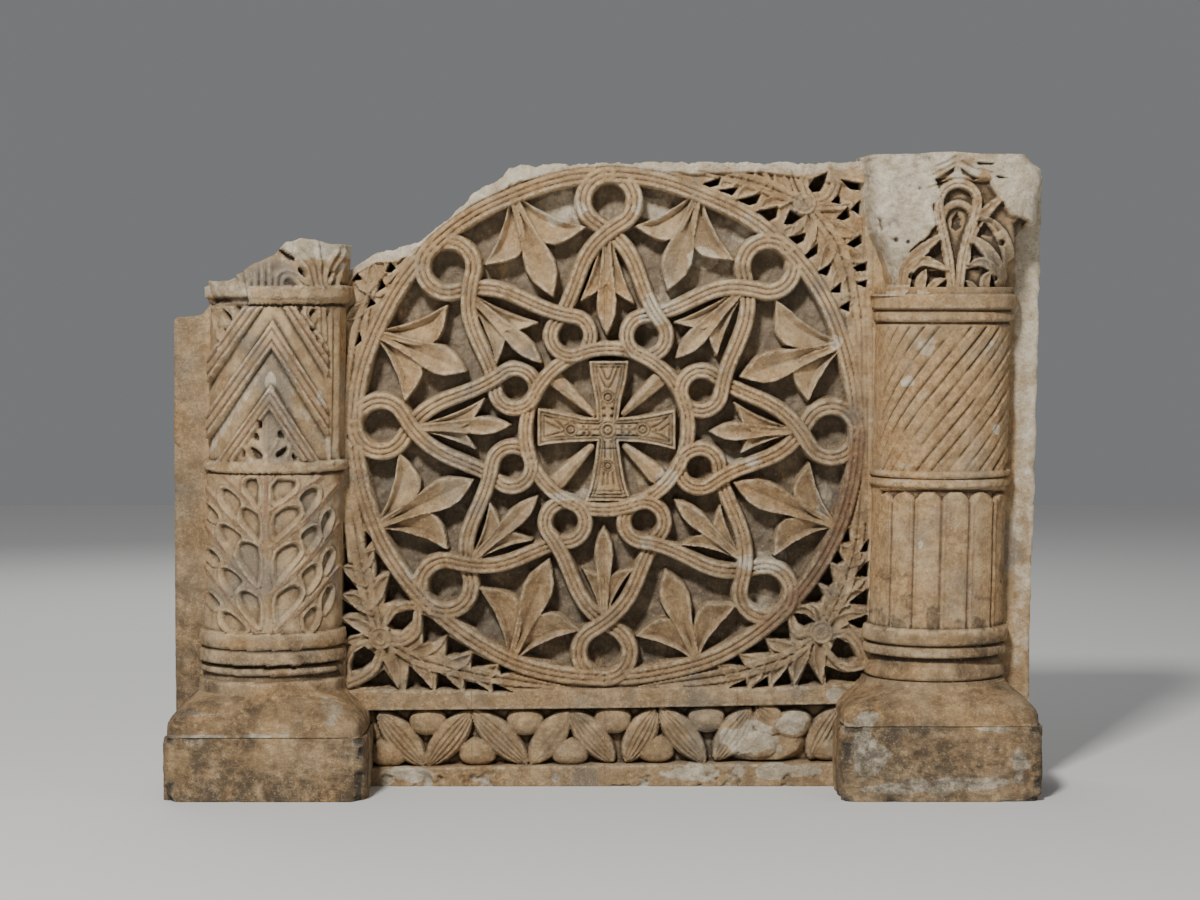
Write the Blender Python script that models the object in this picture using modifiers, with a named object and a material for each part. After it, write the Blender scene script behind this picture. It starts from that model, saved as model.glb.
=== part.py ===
"""Chancel screen panel, carved from one block of limestone.

World frame: metres, X to the right, Y into the stone, Z up, with the origin on the floor
under the middle of the block's box. The carved face lies in the plane Y = 0.
The relief is drawn in the frame of the carved face (x right, y up, z out of the stone),
whose empty turns it upright.
"""
import math

import bmesh
import bpy
from mathutils import Matrix, Vector, geometry

# The slab
SLAB_THICKNESS = 0.140
SLAB_EDGE = 0.047            # what is left of the slab outside each column
RELIEF_DEPTH = 0.045         # how far the ground lies behind the carved face
ROOT = 0.004                 # how far carving is sunk into the stone that carries it
TOP_STRIP = 0.013            # stone left over the top of the roundel

# The border along the foot
LOW_FILLET = 0.030
FRIEZE_HEIGHT = 0.078
TOP_FILLET = 0.036
FRIEZE_DEPTH = 0.028
BORDER_RISE = 0.007          # the border climbs this much from left to right
FRIEZE_ZIGZAGS = 5
SPINDLE_HALF_WIDTH = 0.0155
BALL_RADIUS = 0.022

# The roundel
RING_RADIUS = 0.364
INNER_RING_RADIUS = 0.117
EYELET_LOOP = 0.037          # radius of the loops on the ring, at the middle of the band
INNER_LOOP = 0.029
BAND_WIDTH = 0.0230
BAND_DIP = 0.008             # how far a strand sinks where it passes under another
BAND_DIVE = 0.026            # the length over which it sinks
CROSS_GAP = 0.004            # a strand stops this short of the crossing that hides it
RING_GAP = 0.014             # the same where it runs into the ring
INNER_GAP = 0.010            # and into the inner ring
LOOP_PIECES = 4              # straight runs in each stretch of a strand
TAIL_PIECES = 3
RING_PIECES = 5              # straight runs of the ring from knot to knot
INNER_RING_PIECES = 3
KNOTS = 8
FIELD_MARGIN = 0.005         # stone between the ring and each column

# The columns
COLUMN_RADIUS = 0.100
COLUMN_STEPS = 16
PLINTH_WIDTH = 0.290
PLINTH_FRONT = 0.140         # how far the plinths stand in front of the carved face
LEFT_PLINTH_HEIGHT = 0.092
RIGHT_PLINTH_HEIGHT = 0.108
COLUMN_LEAN = 0.021          # both columns lean to the right, by this much in a metre
PLINTH_CHIP = 0.010

# The cross
CROSS_ARM = 0.098
CROSS_END = 0.026
CROSS_WAIST = 0.0135
CROSS_DEPTH = 0.006          # the cross lies this far behind the band

# The sprays in the corners of the field
SPRAY_BOSS = 0.0165
SPRAY_WIDTH = 0.014
SPRAY_TOOTH = 0.024

STONE_COLOUR = (0.46, 0.37, 0.26, 1.0)

# Worked out from the sizes above
GROUND = -RELIEF_DEPTH
BORDER_TOP = LOW_FILLET + FRIEZE_HEIGHT + TOP_FILLET
ROUNDEL_CENTRE = BORDER_TOP + RING_RADIUS + BAND_WIDTH / 2 - 0.003
FIELD_HALF = RING_RADIUS + BAND_WIDTH / 2 + FIELD_MARGIN
COLUMN_X = FIELD_HALF + COLUMN_RADIUS
SLAB_HALF = COLUMN_X + COLUMN_RADIUS + SLAB_EDGE
SLAB_TOP = ROUNDEL_CENTRE + RING_RADIUS + BAND_WIDTH / 2 + TOP_STRIP
EYELET_CENTRE = RING_RADIUS - EYELET_LOOP
INNER_EYELET_CENTRE = INNER_RING_RADIUS + INNER_LOOP
STEP_ANGLE = 2 * math.pi / KNOTS


def clear_scene():
    for item in list(bpy.data.objects):
        bpy.data.objects.remove(item, do_unlink=True)


def new_collection(name):
    collection = bpy.data.collections.new(name)
    bpy.context.scene.collection.children.link(collection)
    return collection


def stone_material():
    material = bpy.data.materials.new("limestone")
    material.use_nodes = True
    shader = material.node_tree.nodes["Principled BSDF"]
    shader.inputs["Base Color"].default_value = STONE_COLOUR
    shader.inputs["Roughness"].default_value = 0.9
    shader.inputs["Metallic"].default_value = 0.0
    return material


def add_object(name, data, collection, parent=None, helper=True):
    item = bpy.data.objects.new(name, data)
    collection.objects.link(item)
    item.parent = parent
    if helper:
        item.hide_render = True
        item.display_type = "WIRE"
    return item


def face_outwards(shape):
    """Turns every face of a closed bmesh so that the whole encloses a positive volume."""
    bmesh.ops.recalc_face_normals(shape, faces=shape.faces)
    if shape.calc_volume(signed=True) < 0:
        bmesh.ops.reverse_faces(shape, faces=shape.faces)


def loft(name, sections, collection, parent=None):
    """A closed solid whose skin runs through rings of points, with a face over each end."""
    shape = bmesh.new()
    rings = [[shape.verts.new(point) for point in ring] for ring in sections]
    count = len(rings[0])
    for low, high in zip(rings, rings[1:]):
        for i in range(count):
            j = (i + 1) % count
            shape.faces.new((low[i], low[j], high[j], high[i]))
    shape.faces.new(list(reversed(rings[0])))
    shape.faces.new(rings[-1])
    face_outwards(shape)
    mesh = bpy.data.meshes.new(name)
    shape.to_mesh(mesh)
    shape.free()
    return add_object(name, mesh, collection, parent)


def flat_outline(name, points, low, high, collection, parent=None):
    """A flat outline with thickness from low to high along z, as a mesh."""
    data = bpy.data.curves.new(name, "CURVE")
    data.dimensions = "2D"
    data.fill_mode = "BOTH"
    data.extrude = (high - low) / 2
    spline = data.splines.new("POLY")
    spline.points.add(len(points) - 1)
    for point, (x, y) in zip(spline.points, points):
        point.co = (x, y, 0, 1)
    spline.use_cyclic_u = True
    curve = add_object(name + "_line", data, collection, parent)
    curve.location.z = (high + low) / 2
    return curve_to_mesh(name, curve, collection)


def curve_to_mesh(name, curve, collection):
    """The curve's own skin as a mesh object in the same place, with its caps welded on."""
    bpy.context.view_layer.update()
    evaluated = curve.evaluated_get(bpy.context.evaluated_depsgraph_get())
    mesh = bpy.data.meshes.new_from_object(evaluated)
    shape = bmesh.new()
    shape.from_mesh(mesh)
    bmesh.ops.remove_doubles(shape, verts=shape.verts, dist=1e-6)
    face_outwards(shape)
    shape.to_mesh(mesh)
    shape.free()
    item = add_object(name, mesh, collection)
    item.matrix_world = curve.matrix_world.copy()
    bpy.data.objects.remove(curve, do_unlink=True)
    return item


def turned(name, profile, place, lean, collection, steps=COLUMN_STEPS):
    """A turned solid: (radius, height) points from the top down, spun about the axis."""
    mesh = bpy.data.meshes.new(name)
    points = [(radius, 0, height) for radius, height in profile]
    mesh.from_pydata(points, [(i, i + 1) for i in range(len(points) - 1)], [])
    item = add_object(name, mesh, collection)
    item.location = place
    item.rotation_euler = (0, lean, 0)
    screw = item.modifiers.new("turn", "SCREW")
    screw.steps = steps
    screw.render_steps = steps
    screw.use_merge_vertices = True
    screw.merge_threshold = 0.00001
    return item


def boolean(item, operand, operation, collection=False, solver="EXACT"):
    modifier = item.modifiers.new(operation.lower(), "BOOLEAN")
    modifier.operation = operation
    modifier.solver = solver
    if collection:
        modifier.operand_type = "COLLECTION"
        modifier.collection = operand
    else:
        modifier.object = operand
    return modifier


# The interlace


def polar(angle, radius):
    """A point of the roundel, its angle taken clockwise from the top, round its own centre."""
    return Vector((radius * math.sin(angle), radius * math.cos(angle)))


def arc(centre, radius, start, end, pieces):
    """Points on a circle, angles clockwise from the top."""
    steps = range(pieces + 1)
    return [centre + polar(start + (end - start) * i / pieces, radius) for i in steps]


def bezier(p0, p1, p2, p3, pieces):
    points = []
    for i in range(pieces + 1):
        t = i / pieces
        s = 1 - t
        points.append(s**3 * p0 + 3 * s * s * t * p1 + 3 * s * t * t * p2 + t**3 * p3)
    return points


def half_strand():
    """A strand from the top of a knot, where it leaves the ring, to the inner ring.

    It goes down the clockwise side of the loop on the ring, crosses the knot's own axis,
    runs to the inner loop on the other side and round that to the inner ring.
    """
    loop_end = math.radians(150)
    outer = Vector((0, EYELET_CENTRE))
    inner = polar(-STEP_ANGLE / 2, INNER_EYELET_CENTRE)
    entry = -STEP_ANGLE / 2 - math.radians(30)
    start = outer + polar(loop_end, EYELET_LOOP)
    finish = inner + polar(entry, INNER_LOOP)
    start_way = polar(loop_end + math.pi / 2, 1)
    finish_way = polar(entry - math.pi / 2, 1)
    reach = (finish - start).length
    points = arc(outer, EYELET_LOOP, 0, loop_end, LOOP_PIECES)
    tail = bezier(start, start + start_way * reach * 0.5, finish - finish_way * reach * 0.42,
                  finish, TAIL_PIECES)
    points += tail[1:]
    points += arc(inner, INNER_LOOP, entry, -STEP_ANGLE / 2 - math.pi, LOOP_PIECES)[1:]
    return points


def cut_at(points, angle):
    """Splits a path where it first crosses the ray at this angle; both halves keep the point."""
    side = Vector((math.cos(angle), -math.sin(angle)))
    for i in range(1, len(points) - 1):
        a = points[i].dot(side)
        b = points[i + 1].dot(side)
        if a > 0 >= b:
            cross = points[i] + (points[i + 1] - points[i]) * (a / (a - b))
            return points[: i + 1] + [cross], [cross] + points[i + 1:]
    raise ValueError("the strand does not cross that ray")


def mirrored(points):
    return [Vector((-p.x, p.y)) for p in reversed(points)]


def rotated(points, angle):
    turn = Matrix.Rotation(-angle, 2)
    return [turn @ p for p in points]


def trimmed(line, gap):
    """The path without its first stretch of this length."""
    while len(line) > 2 and (line[1] - line[0]).length <= gap:
        gap -= (line[1] - line[0]).length
        line = line[1:]
    way = (line[1] - line[0]).normalized()
    return [line[0] + way * gap] + line[1:]


def shortened(points, start_gap, end_gap):
    """The path without its first and last stretch of these lengths."""
    points = trimmed(points, start_gap)
    return list(reversed(trimmed(list(reversed(points)), end_gap)))


def strand_paths():
    """One knot's strands, each from one place where it is hidden to the next.

    Each comes with the gaps at its two ends and the lengths over which it dives there.
    """
    to_axis, rest = cut_at(half_strand(), 0)
    tail, loop = cut_at(rest, -STEP_ANGLE / 2)
    return (
        (to_axis + tail[1:], RING_GAP, CROSS_GAP, 0.001, BAND_DIVE),
        (loop, CROSS_GAP, INNER_GAP, BAND_DIVE, 0.001),
        (mirrored(loop) + mirrored(tail)[1:], INNER_GAP, CROSS_GAP, 0.001, BAND_DIVE),
        (mirrored(to_axis), CROSS_GAP, RING_GAP, BAND_DIVE, 0.001))


def smooth(t):
    t = min(max(t, 0.0), 1.0)
    return t * t * (3 - 2 * t)


def band_heights(points, start_run, end_run):
    """A strand lies at the carved face and sinks towards both its hidden ends."""
    lengths = [0.0]
    for a, b in zip(points, points[1:]):
        lengths.append(lengths[-1] + (b - a).length)
    total = lengths[-1]
    heights = []
    for s in lengths:
        down = max(1 - smooth(s / start_run), 1 - smooth((total - s) / end_run))
        heights.append(-BAND_DIP * down)
    return heights


def band_profile(collection):
    """The section of the band: a raised strip with sloping walls."""
    half = BAND_WIDTH / 2
    foot = -RELIEF_DEPTH - ROOT + BAND_DIP
    points = ((-half, foot), (-half * 0.72, 0), (half * 0.72, 0), (half, foot))
    data = bpy.data.curves.new("band_section", "CURVE")
    spline = data.splines.new("POLY")
    spline.points.add(len(points) - 1)
    for point, (x, y) in zip(spline.points, points):
        point.co = (x, y, 0, 1)
    spline.use_cyclic_u = True
    return add_object("band_section", data, collection)


def band(name, points, heights, section, collection, parent, closed=False):
    """The band's section carried along a path of the roundel."""
    data = bpy.data.curves.new(name, "CURVE")
    data.dimensions = "3D"
    data.twist_mode = "Z_UP"
    data.bevel_mode = "OBJECT"
    data.bevel_object = section
    data.use_fill_caps = True
    spline = data.splines.new("POLY")
    spline.points.add(len(points) - 1)
    for point, place, height in zip(spline.points, points, heights):
        point.co = (place.x, place.y + ROUNDEL_CENTRE, height, 1)
    spline.use_cyclic_u = closed
    curve = add_object(name + "_line", data, collection, parent)
    return curve_to_mesh(name, curve, collection)


def interlace(section, collection, parent):
    """The ring, the inner ring and the knots that tie them together."""
    for name, radius, pieces in (("ring", RING_RADIUS, RING_PIECES),
                                 ("inner_ring", INNER_RING_RADIUS, INNER_RING_PIECES)):
        points = arc(Vector((0, 0)), radius, 0, 2 * math.pi, KNOTS * pieces)[:-1]
        band(name, points, [-0.0002] * len(points), section, collection, parent, closed=True)
    for knot in range(KNOTS):
        for number, (path, start_gap, end_gap, start_run, end_run) in enumerate(strand_paths()):
            points = rotated(shortened(path, start_gap, end_gap), knot * STEP_ANGLE)
            heights = band_heights(points, start_run, end_run)
            band(f"strand_{knot}_{number}", points, heights, section, collection, parent)


# Leaves


def curve_through(p0, p1, p2, pieces):
    points = []
    for i in range(pieces + 1):
        t = i / pieces
        points.append((1 - t)**2 * p0 + 2 * t * (1 - t) * p1 + t * t * p2)
    return points


def carved(name, outline, veins, crest, valley, collection, parent):
    """A leaf with walls down to the ground: its edge stands at crest, its veins lie at valley.

    The face between them is the plane triangulation of the edge and the veins.
    """
    points = list(outline)
    edges = [(i, (i + 1) % len(outline)) for i in range(len(outline))]
    for vein in veins:
        start = len(points)
        points += vein
        edges += [(i, i + 1) for i in range(start, start + len(vein) - 1)]
    found = geometry.delaunay_2d_cdt(points, edges, [list(range(len(outline)))], 1, 1e-6)
    places, faces, origins = found[0], found[2], found[3]
    shape = bmesh.new()
    top = []
    for place, sources in zip(places, origins):
        edge = any(i < len(outline) for i in sources) or not sources
        top.append(shape.verts.new((place.x, place.y, crest if edge else valley)))
    flat = [shape.faces.new([top[i] for i in face]) for face in faces]
    grown = bmesh.ops.extrude_face_region(shape, geom=flat)
    for item in grown["geom"]:
        if isinstance(item, bmesh.types.BMVert):
            item.co.z = GROUND - ROOT
    face_outwards(shape)
    mesh = bpy.data.meshes.new(name)
    shape.to_mesh(mesh)
    shape.free()
    return add_object(name, mesh, collection, parent)


def trefoil(name, place, angle, shape, collection, parent):
    """A leaf of three lobes, hanging inwards from its root on the roundel's radius.

    Sizes are shares of the ring's radius: root, tip, side tips across and along, the fork
    between the lobes, and the half widths of the root, the middle lobe and a side lobe.
    """
    root, tip, across, along, fork, neck, middle, flank = [v * RING_RADIUS for v in shape]
    out = Vector((math.sin(angle), math.cos(angle)))
    turn = Vector((math.cos(angle), -math.sin(angle)))
    belly = tip + (root - tip) * 0.36
    outline = []
    for sign in (-1, 1):
        side = [(neck, root), (across * 0.30 + flank * 0.55, (root + along) / 2 + flank * 0.40),
                (across, along), (middle * 0.80, fork - flank), (middle, belly)]
        side = [(sign * x, y) for x, y in side]
        outline += side if sign < 0 else list(reversed(side))
        if sign < 0:
            outline.append((0, tip))
    veins = [[(0, root - neck), (0, belly)]]
    for sign in (-1, 1):
        veins.append([(sign * (middle * 0.5 + neck * 0.3), fork),
                      (sign * across * 0.62, along + flank * 0.25)])

    def world(points):
        return [place + turn * x + out * y for x, y in points]

    carved(name, world(outline), [world(vein) for vein in veins], -0.002, -0.011, collection, parent)


def roundel_leaves(collection, parent):
    centre = Vector((0, ROUNDEL_CENTRE))
    large = (0.975, 0.582, 0.210, 0.794, 0.820, 0.030, 0.054, 0.050)
    small = (0.725, 0.390, 0.106, 0.518, 0.590, 0.016, 0.026, 0.028)
    for knot in range(KNOTS):
        trefoil(f"large_leaf_{knot}", centre, (knot + 0.5) * STEP_ANGLE, large, collection, parent)
        trefoil(f"small_leaf_{knot}", centre, knot * STEP_ANGLE, small, collection, parent)


# The cross in the middle


def cross(collection, parent):
    """Four flared arms on the ground of the inner ring, with a pointed leaf in each corner."""
    outline = []
    for quarter in range(4):
        angle = quarter * math.pi / 2
        length = CROSS_ARM
        corners = ((-CROSS_WAIST, CROSS_WAIST), (-CROSS_END, length), (CROSS_END, length))
        for across, along in corners:
            turned_point = polar(angle, along) + polar(angle + math.pi / 2, across)
            outline.append((turned_point.x, turned_point.y + ROUNDEL_CENTRE))
    low = GROUND - ROOT
    flat_outline("cross", outline, low, -CROSS_DEPTH, collection, parent)
    centre = Vector((0, ROUNDEL_CENTRE))
    for quarter in range(4):
        way = polar((quarter + 0.5) * math.pi / 2, 1)
        reach = INNER_RING_RADIUS
        side = Vector((-way.y, way.x)) * 0.016
        outline = [centre + way * reach * 0.14, centre + way * reach * 0.80 + side,
                   centre + way * reach * 0.98, centre + way * reach * 0.80 - side]
        vein = [centre + way * reach * 0.30, centre + way * reach * 0.80]
        carved(f"corner_leaf_{quarter}", outline, [vein], -0.010, -0.018, collection, parent)


# Sprays in the corners of the field


def toothed_leaf(name, spine, teeth, collection, parent):
    """A long flat leaf; on the sides that teeth names it is cut into pointed teeth."""
    count = len(spine) - 1
    sides = {}
    for sign in (-1, 1):
        edge = []
        for i in range(count):
            way = (spine[i + 1] - spine[i]).normalized()
            side = Vector((-way.y, way.x)) * sign
            width = SPRAY_WIDTH * math.sin(math.pi * (0.18 + 0.72 * i / count))
            edge.append(spine[i] + side * width)
            if sign in teeth and i > 0:
                reach = SPRAY_TOOTH * (1 - 0.45 * i / count)
                edge.append(spine[i] + side * (width + reach) + way * reach * 0.7)
        sides[sign] = edge
    outline = sides[1] + [spine[-1]] + list(reversed(sides[-1]))
    return carved(name, outline, [spine[1:-1]], -0.003, -0.009, collection, parent)


def spray(name, boss, leaves, collection, parent):
    """A boss with long toothed leaves; each leaf is (end point, control point, sides cut)."""
    centre = Vector(boss)
    disc = [tuple(centre + polar(i * math.pi / 3, SPRAY_BOSS)) for i in range(6)]
    flat_outline(name + "_boss", disc, GROUND - ROOT, -0.001, collection, parent)
    for number, (end, control, teeth) in enumerate(leaves):
        spine = curve_through(centre, Vector(control), Vector(end), 5)
        toothed_leaf(f"{name}_leaf_{number}", spine, teeth, collection, parent)


def corner_sprays(collection, parent):
    boss = RING_RADIUS * 0.79
    edge = FIELD_HALF - 0.016
    up = ROUNDEL_CENTRE
    foot = BORDER_TOP + 0.010
    head = up + RING_RADIUS - 0.006
    spray("spray_low_left", (-boss - 0.043, up - boss - 0.012),
          (((-edge, up - 0.05), (-edge, up - 0.18), (-1,)),
           ((-0.07, foot), (-0.19, foot + 0.003), (-1, 1))), collection, parent)
    spray("spray_low_right", (boss + 0.023, up - boss - 0.003),
          (((edge, up - 0.08), (edge, up - 0.18), (1,)),
           ((0.05, foot), (0.19, foot + 0.012), (-1, 1))), collection, parent)
    spray("spray_top_right", (boss - 0.002, up + boss + 0.044),
          (((edge, up + 0.05), (edge - 0.010, up + 0.20), (-1, 1)),
           ((0.10, head + 0.006), (0.19, head), (-1,))), collection, parent)


# The border along the foot


def border_base(x):
    """Height that the border has climbed at x."""
    return BORDER_RISE * (x + FIELD_HALF) / (2 * FIELD_HALF)


def border(collection, parent):
    """A zigzag of ribbed spindles, with half balls in the triangles between them."""
    half = COLUMN_X - PLINTH_WIDTH / 2
    low = LOW_FILLET
    high = LOW_FILLET + FRIEZE_HEIGHT
    pitch = 2 * half / FRIEZE_ZIGZAGS
    share = (0.12, 0.85, 1.0, 0.12)
    for i in range(2 * FRIEZE_ZIGZAGS):
        x0 = -half + i * pitch / 2
        x1 = x0 + pitch / 2
        ends = (high, low) if i % 2 == 0 else (low, high)
        start = Vector((x0, ends[0] + border_base(x0)))
        finish = Vector((x1, ends[1] + border_base(x1)))
        spine = [start.lerp(finish, t / 3) for t in range(4)]
        spindle(f"spindle_{i}", spine, [s * SPINDLE_HALF_WIDTH for s in share], collection, parent)
    for i in range(2 * FRIEZE_ZIGZAGS + 1):
        x = -half + i * pitch / 2
        level = low + BALL_RADIUS * 0.45 if i % 2 == 0 else high - BALL_RADIUS * 0.45
        x = min(max(x, BALL_RADIUS * 0.75 - half), half - BALL_RADIUS * 0.75)
        half_ball(f"ball_{i}", (x, level + border_base(x)), collection, parent)


def spindle(name, spine, widths, collection, parent):
    """A bud with a rib along it, pointed at both ends."""
    sections = []
    foot = -FRIEZE_DEPTH - ROOT
    way = (spine[-1] - spine[0]).normalized()
    side = Vector((-way.y, way.x))
    for point, width in zip(spine, widths):
        top = -0.014 + 0.013 * width / SPINDLE_HALF_WIDTH
        ring = []
        for across, level in ((1, foot), (0.75, top - 0.005), (0, top), (-0.75, top - 0.005),
                              (-1, foot)):
            place = point + side * width * across
            ring.append((place.x, place.y, level))
        sections.append(ring)
    return loft(name, sections, collection, parent)


def half_ball(name, place, collection, parent):
    mesh = bpy.data.meshes.new(name)
    shape = bmesh.new()
    bmesh.ops.create_uvsphere(shape, u_segments=7, v_segments=4, radius=BALL_RADIUS)
    shape.to_mesh(mesh)
    shape.free()
    ball = add_object(name, mesh, collection, parent)
    ball.location = (place[0], place[1], -FRIEZE_DEPTH + 0.003)


# The columns


def column_point(centre_x, lean, radius, angle, height):
    """A point on a leaning column; the angle runs to the right from its front line."""
    return Vector((centre_x + lean * height + radius * math.sin(angle), -radius * math.cos(angle),
                   height))


def column_strip(name, column, path, half_width, lift, collection):
    """A raised strip along a path of (angle, height) points on a column."""
    centre_x, lean, radius = column
    sections = []
    for i, (angle, height) in enumerate(path):
        before = path[max(i - 1, 0)]
        after = path[min(i + 1, len(path) - 1)]
        way = Vector(((after[0] - before[0]) * radius, after[1] - before[1])).normalized()
        corner = Vector(((path[min(i + 1, len(path) - 1)][0] - angle) * radius,
                         path[min(i + 1, len(path) - 1)][1] - height))
        stretch = 1.0
        if 0 < i < len(path) - 1 and corner.length > 0:
            stretch = 1 / max(abs(corner.normalized().dot(way)), 0.5)
        side = Vector((-way.y, way.x)) * half_width * stretch
        ring = []
        for sign, out in ((1, -ROOT), (1, lift), (-1, lift), (-1, -ROOT)):
            turn = angle + sign * side.x / radius
            ring.append(column_point(centre_x, lean, radius + out, turn, height + sign * side.y))
        sections.append(ring)
    return loft(name, sections, collection)


def fluted_drum(name, column, count, depth, twist, low, high, levels, collection):
    """A drum whose skin has this many flutes, turned by twist from its foot to its top."""
    centre_x, lean, radius = column
    sections = []
    for level in range(levels + 1):
        height = low + (high - low) * level / levels
        start = twist * level / levels
        ring = []
        for i in range(2 * count):
            reach = radius if i % 2 == 0 else radius - depth
            ring.append(column_point(centre_x, lean, reach, start + i * math.pi / count, height))
        sections.append(ring)
    return loft(name, sections, collection)


def box(name, low, high, collection, chip=0.0):
    """A box from its lowest to its highest corner, with its edges broken by chip."""
    shape = bmesh.new()
    bmesh.ops.create_cube(shape, size=1.0)
    size = [b - a for a, b in zip(low, high)]
    bmesh.ops.scale(shape, vec=size, verts=shape.verts)
    mesh = bpy.data.meshes.new(name)
    shape.to_mesh(mesh)
    shape.free()
    item = add_object(name, mesh, collection)
    item.location = [(a + b) / 2 for a, b in zip(low, high)]
    if chip:
        bevel = item.modifiers.new("worn_edges", "BEVEL")
        bevel.width = chip
        bevel.segments = 1
    return item


def base(name, height, foot_x, collection):
    """The plinth and the flare above it, from a rounded square to the round of the rings."""
    box(name + "_plinth", (foot_x - PLINTH_WIDTH / 2, -PLINTH_FRONT, 0.0),
        (foot_x + PLINTH_WIDTH / 2, SLAB_THICKNESS / 2, height), collection, PLINTH_CHIP)
    reach = PLINTH_WIDTH / 2 - 0.004
    sections = []
    steps = 16
    for share, level in ((0.0, height - ROOT), (0.10, height + 0.010), (0.55, height + 0.028),
                         (1.0, height + 0.052)):
        ring = []
        for i in range(steps):
            angle = 2 * math.pi * i / steps
            square = reach / max(abs(math.cos(angle)), abs(math.sin(angle)))
            soft = min(square, reach * 1.16)
            radius = soft * (1 - share) + (COLUMN_RADIUS + 0.008) * share
            depth = max(min(-radius * math.cos(angle), SLAB_THICKNESS / 2), 0.004 - PLINTH_FRONT)
            ring.append((foot_x + radius * math.sin(angle), depth, level))
        sections.append(ring)
    loft(name + "_flare", sections, collection)


BLOCK_HALF = COLUMN_X + 0.005 + PLINTH_WIDTH / 2
LEFT_NECK = 0.706            # heights of the rings that part a column into registers
LEFT_WAIST = 0.456
LEFT_FOOT = 0.230
RIGHT_NECK = 0.688
RIGHT_WAIST = 0.428
RIGHT_FOOT = 0.228
CARVED_ANGLE = math.radians(70)   # how far round from its front a shaft is carved
CHEVRONS = ((0.738, 0.011), (0.660, 0.011), (0.585, 0.016))   # apex height, half width
CHEVRON_SLOPE = 1.48
FROND_PAIRS = 5


def left_column(collection):
    lean = COLUMN_LEAN
    centre_x = -COLUMN_X - 0.009
    r = COLUMN_RADIUS
    profile = (
        (0.0, 0.790), (r + 0.012, 0.790), (r + 0.010, 0.770), (r - 0.004, LEFT_NECK + 0.022),
        (r + 0.004, LEFT_NECK + 0.020), (r + 0.004, LEFT_NECK), (r - 0.004, LEFT_NECK - 0.002),
        (r - 0.004, LEFT_WAIST + 0.013), (r + 0.002, LEFT_WAIST + 0.012), (r + 0.002, LEFT_WAIST),
        (r - 0.004, LEFT_WAIST - 0.002), (r - 0.004, LEFT_FOOT + 0.004), (r + 0.005, LEFT_FOOT - 0.002),
        (r + 0.004, LEFT_FOOT - 0.016), (r, LEFT_FOOT - 0.022), (r + 0.006, LEFT_FOOT - 0.028),
        (r + 0.005, LEFT_FOOT - 0.040), (r, LEFT_FOOT - 0.045), (r + 0.005, LEFT_FOOT - 0.060),
        (r + 0.008, LEFT_PLINTH_HEIGHT + 0.050), (0.0, LEFT_PLINTH_HEIGHT + 0.048))
    shaft = turned("left_shaft", profile, (centre_x, 0, 0), lean, collection)
    break_line = ((-0.30, 0.724), (-0.086, 0.726), (-0.072, 0.738), (-0.006, 0.764), (0.004, 0.780),
                  (0.034, 0.786), (0.30, 0.786), (0.30, 0.90), (-0.30, 0.90))
    cutter = prism("left_break", [(centre_x + lean * 0.75 + x, z) for x, z in break_line],
                   collection)
    boolean(shaft, cutter, "DIFFERENCE")
    column = (centre_x, lean, r - 0.004)
    for number, (apex, width) in enumerate(CHEVRONS):
        leg = []
        for i in range(4):
            angle = CARVED_ANGLE * i / 3
            leg.append((angle, apex - angle * r * CHEVRON_SLOPE))
        leg = [p for p in leg if LEFT_WAIST + 0.004 < p[1] < LEFT_NECK + 0.02]
        back = [(-angle, height) for angle, height in reversed(leg)]
        if leg[0][0] == 0.0:
            column_strip(f"chevron_{number}", column, back + leg[1:], width, 0.004, collection)
        else:
            column_strip(f"chevron_{number}_left", column, back, width, 0.004, collection)
            column_strip(f"chevron_{number}_right", column, leg, width, 0.004, collection)
    column_strip("frond_stem", column, [(0, LEFT_FOOT), (0, LEFT_WAIST)], 0.006, 0.005, collection)
    for pair in range(FROND_PAIRS):
        level = LEFT_FOOT + (LEFT_WAIST - LEFT_FOOT) * (pair - 0.4) / FROND_PAIRS
        for sign in (-1, 1):
            path = []
            for t in (0.05, 0.5, 1.0):
                path.append((sign * CARVED_ANGLE * t, level + CARVED_ANGLE * r * 0.95 * t))
            path = [p for p in path if LEFT_FOOT + 0.006 < p[1] < LEFT_WAIST - 0.006]
            if len(path) > 1:
                side = "l" if sign < 0 else "r"
                column_strip(f"frond_{pair}_{side}", column, path, 0.004, 0.004, collection)
    base("left_base", LEFT_PLINTH_HEIGHT, centre_x + 0.004, collection)


def prism(name, points, collection, front=-0.30, back=0.30):
    """An upright outline of (x, z) points with depth from front to back, as a cutter."""
    return loft(name, [[(x, front, z) for x, z in points], [(x, back, z) for x, z in points]],
                collection)


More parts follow.
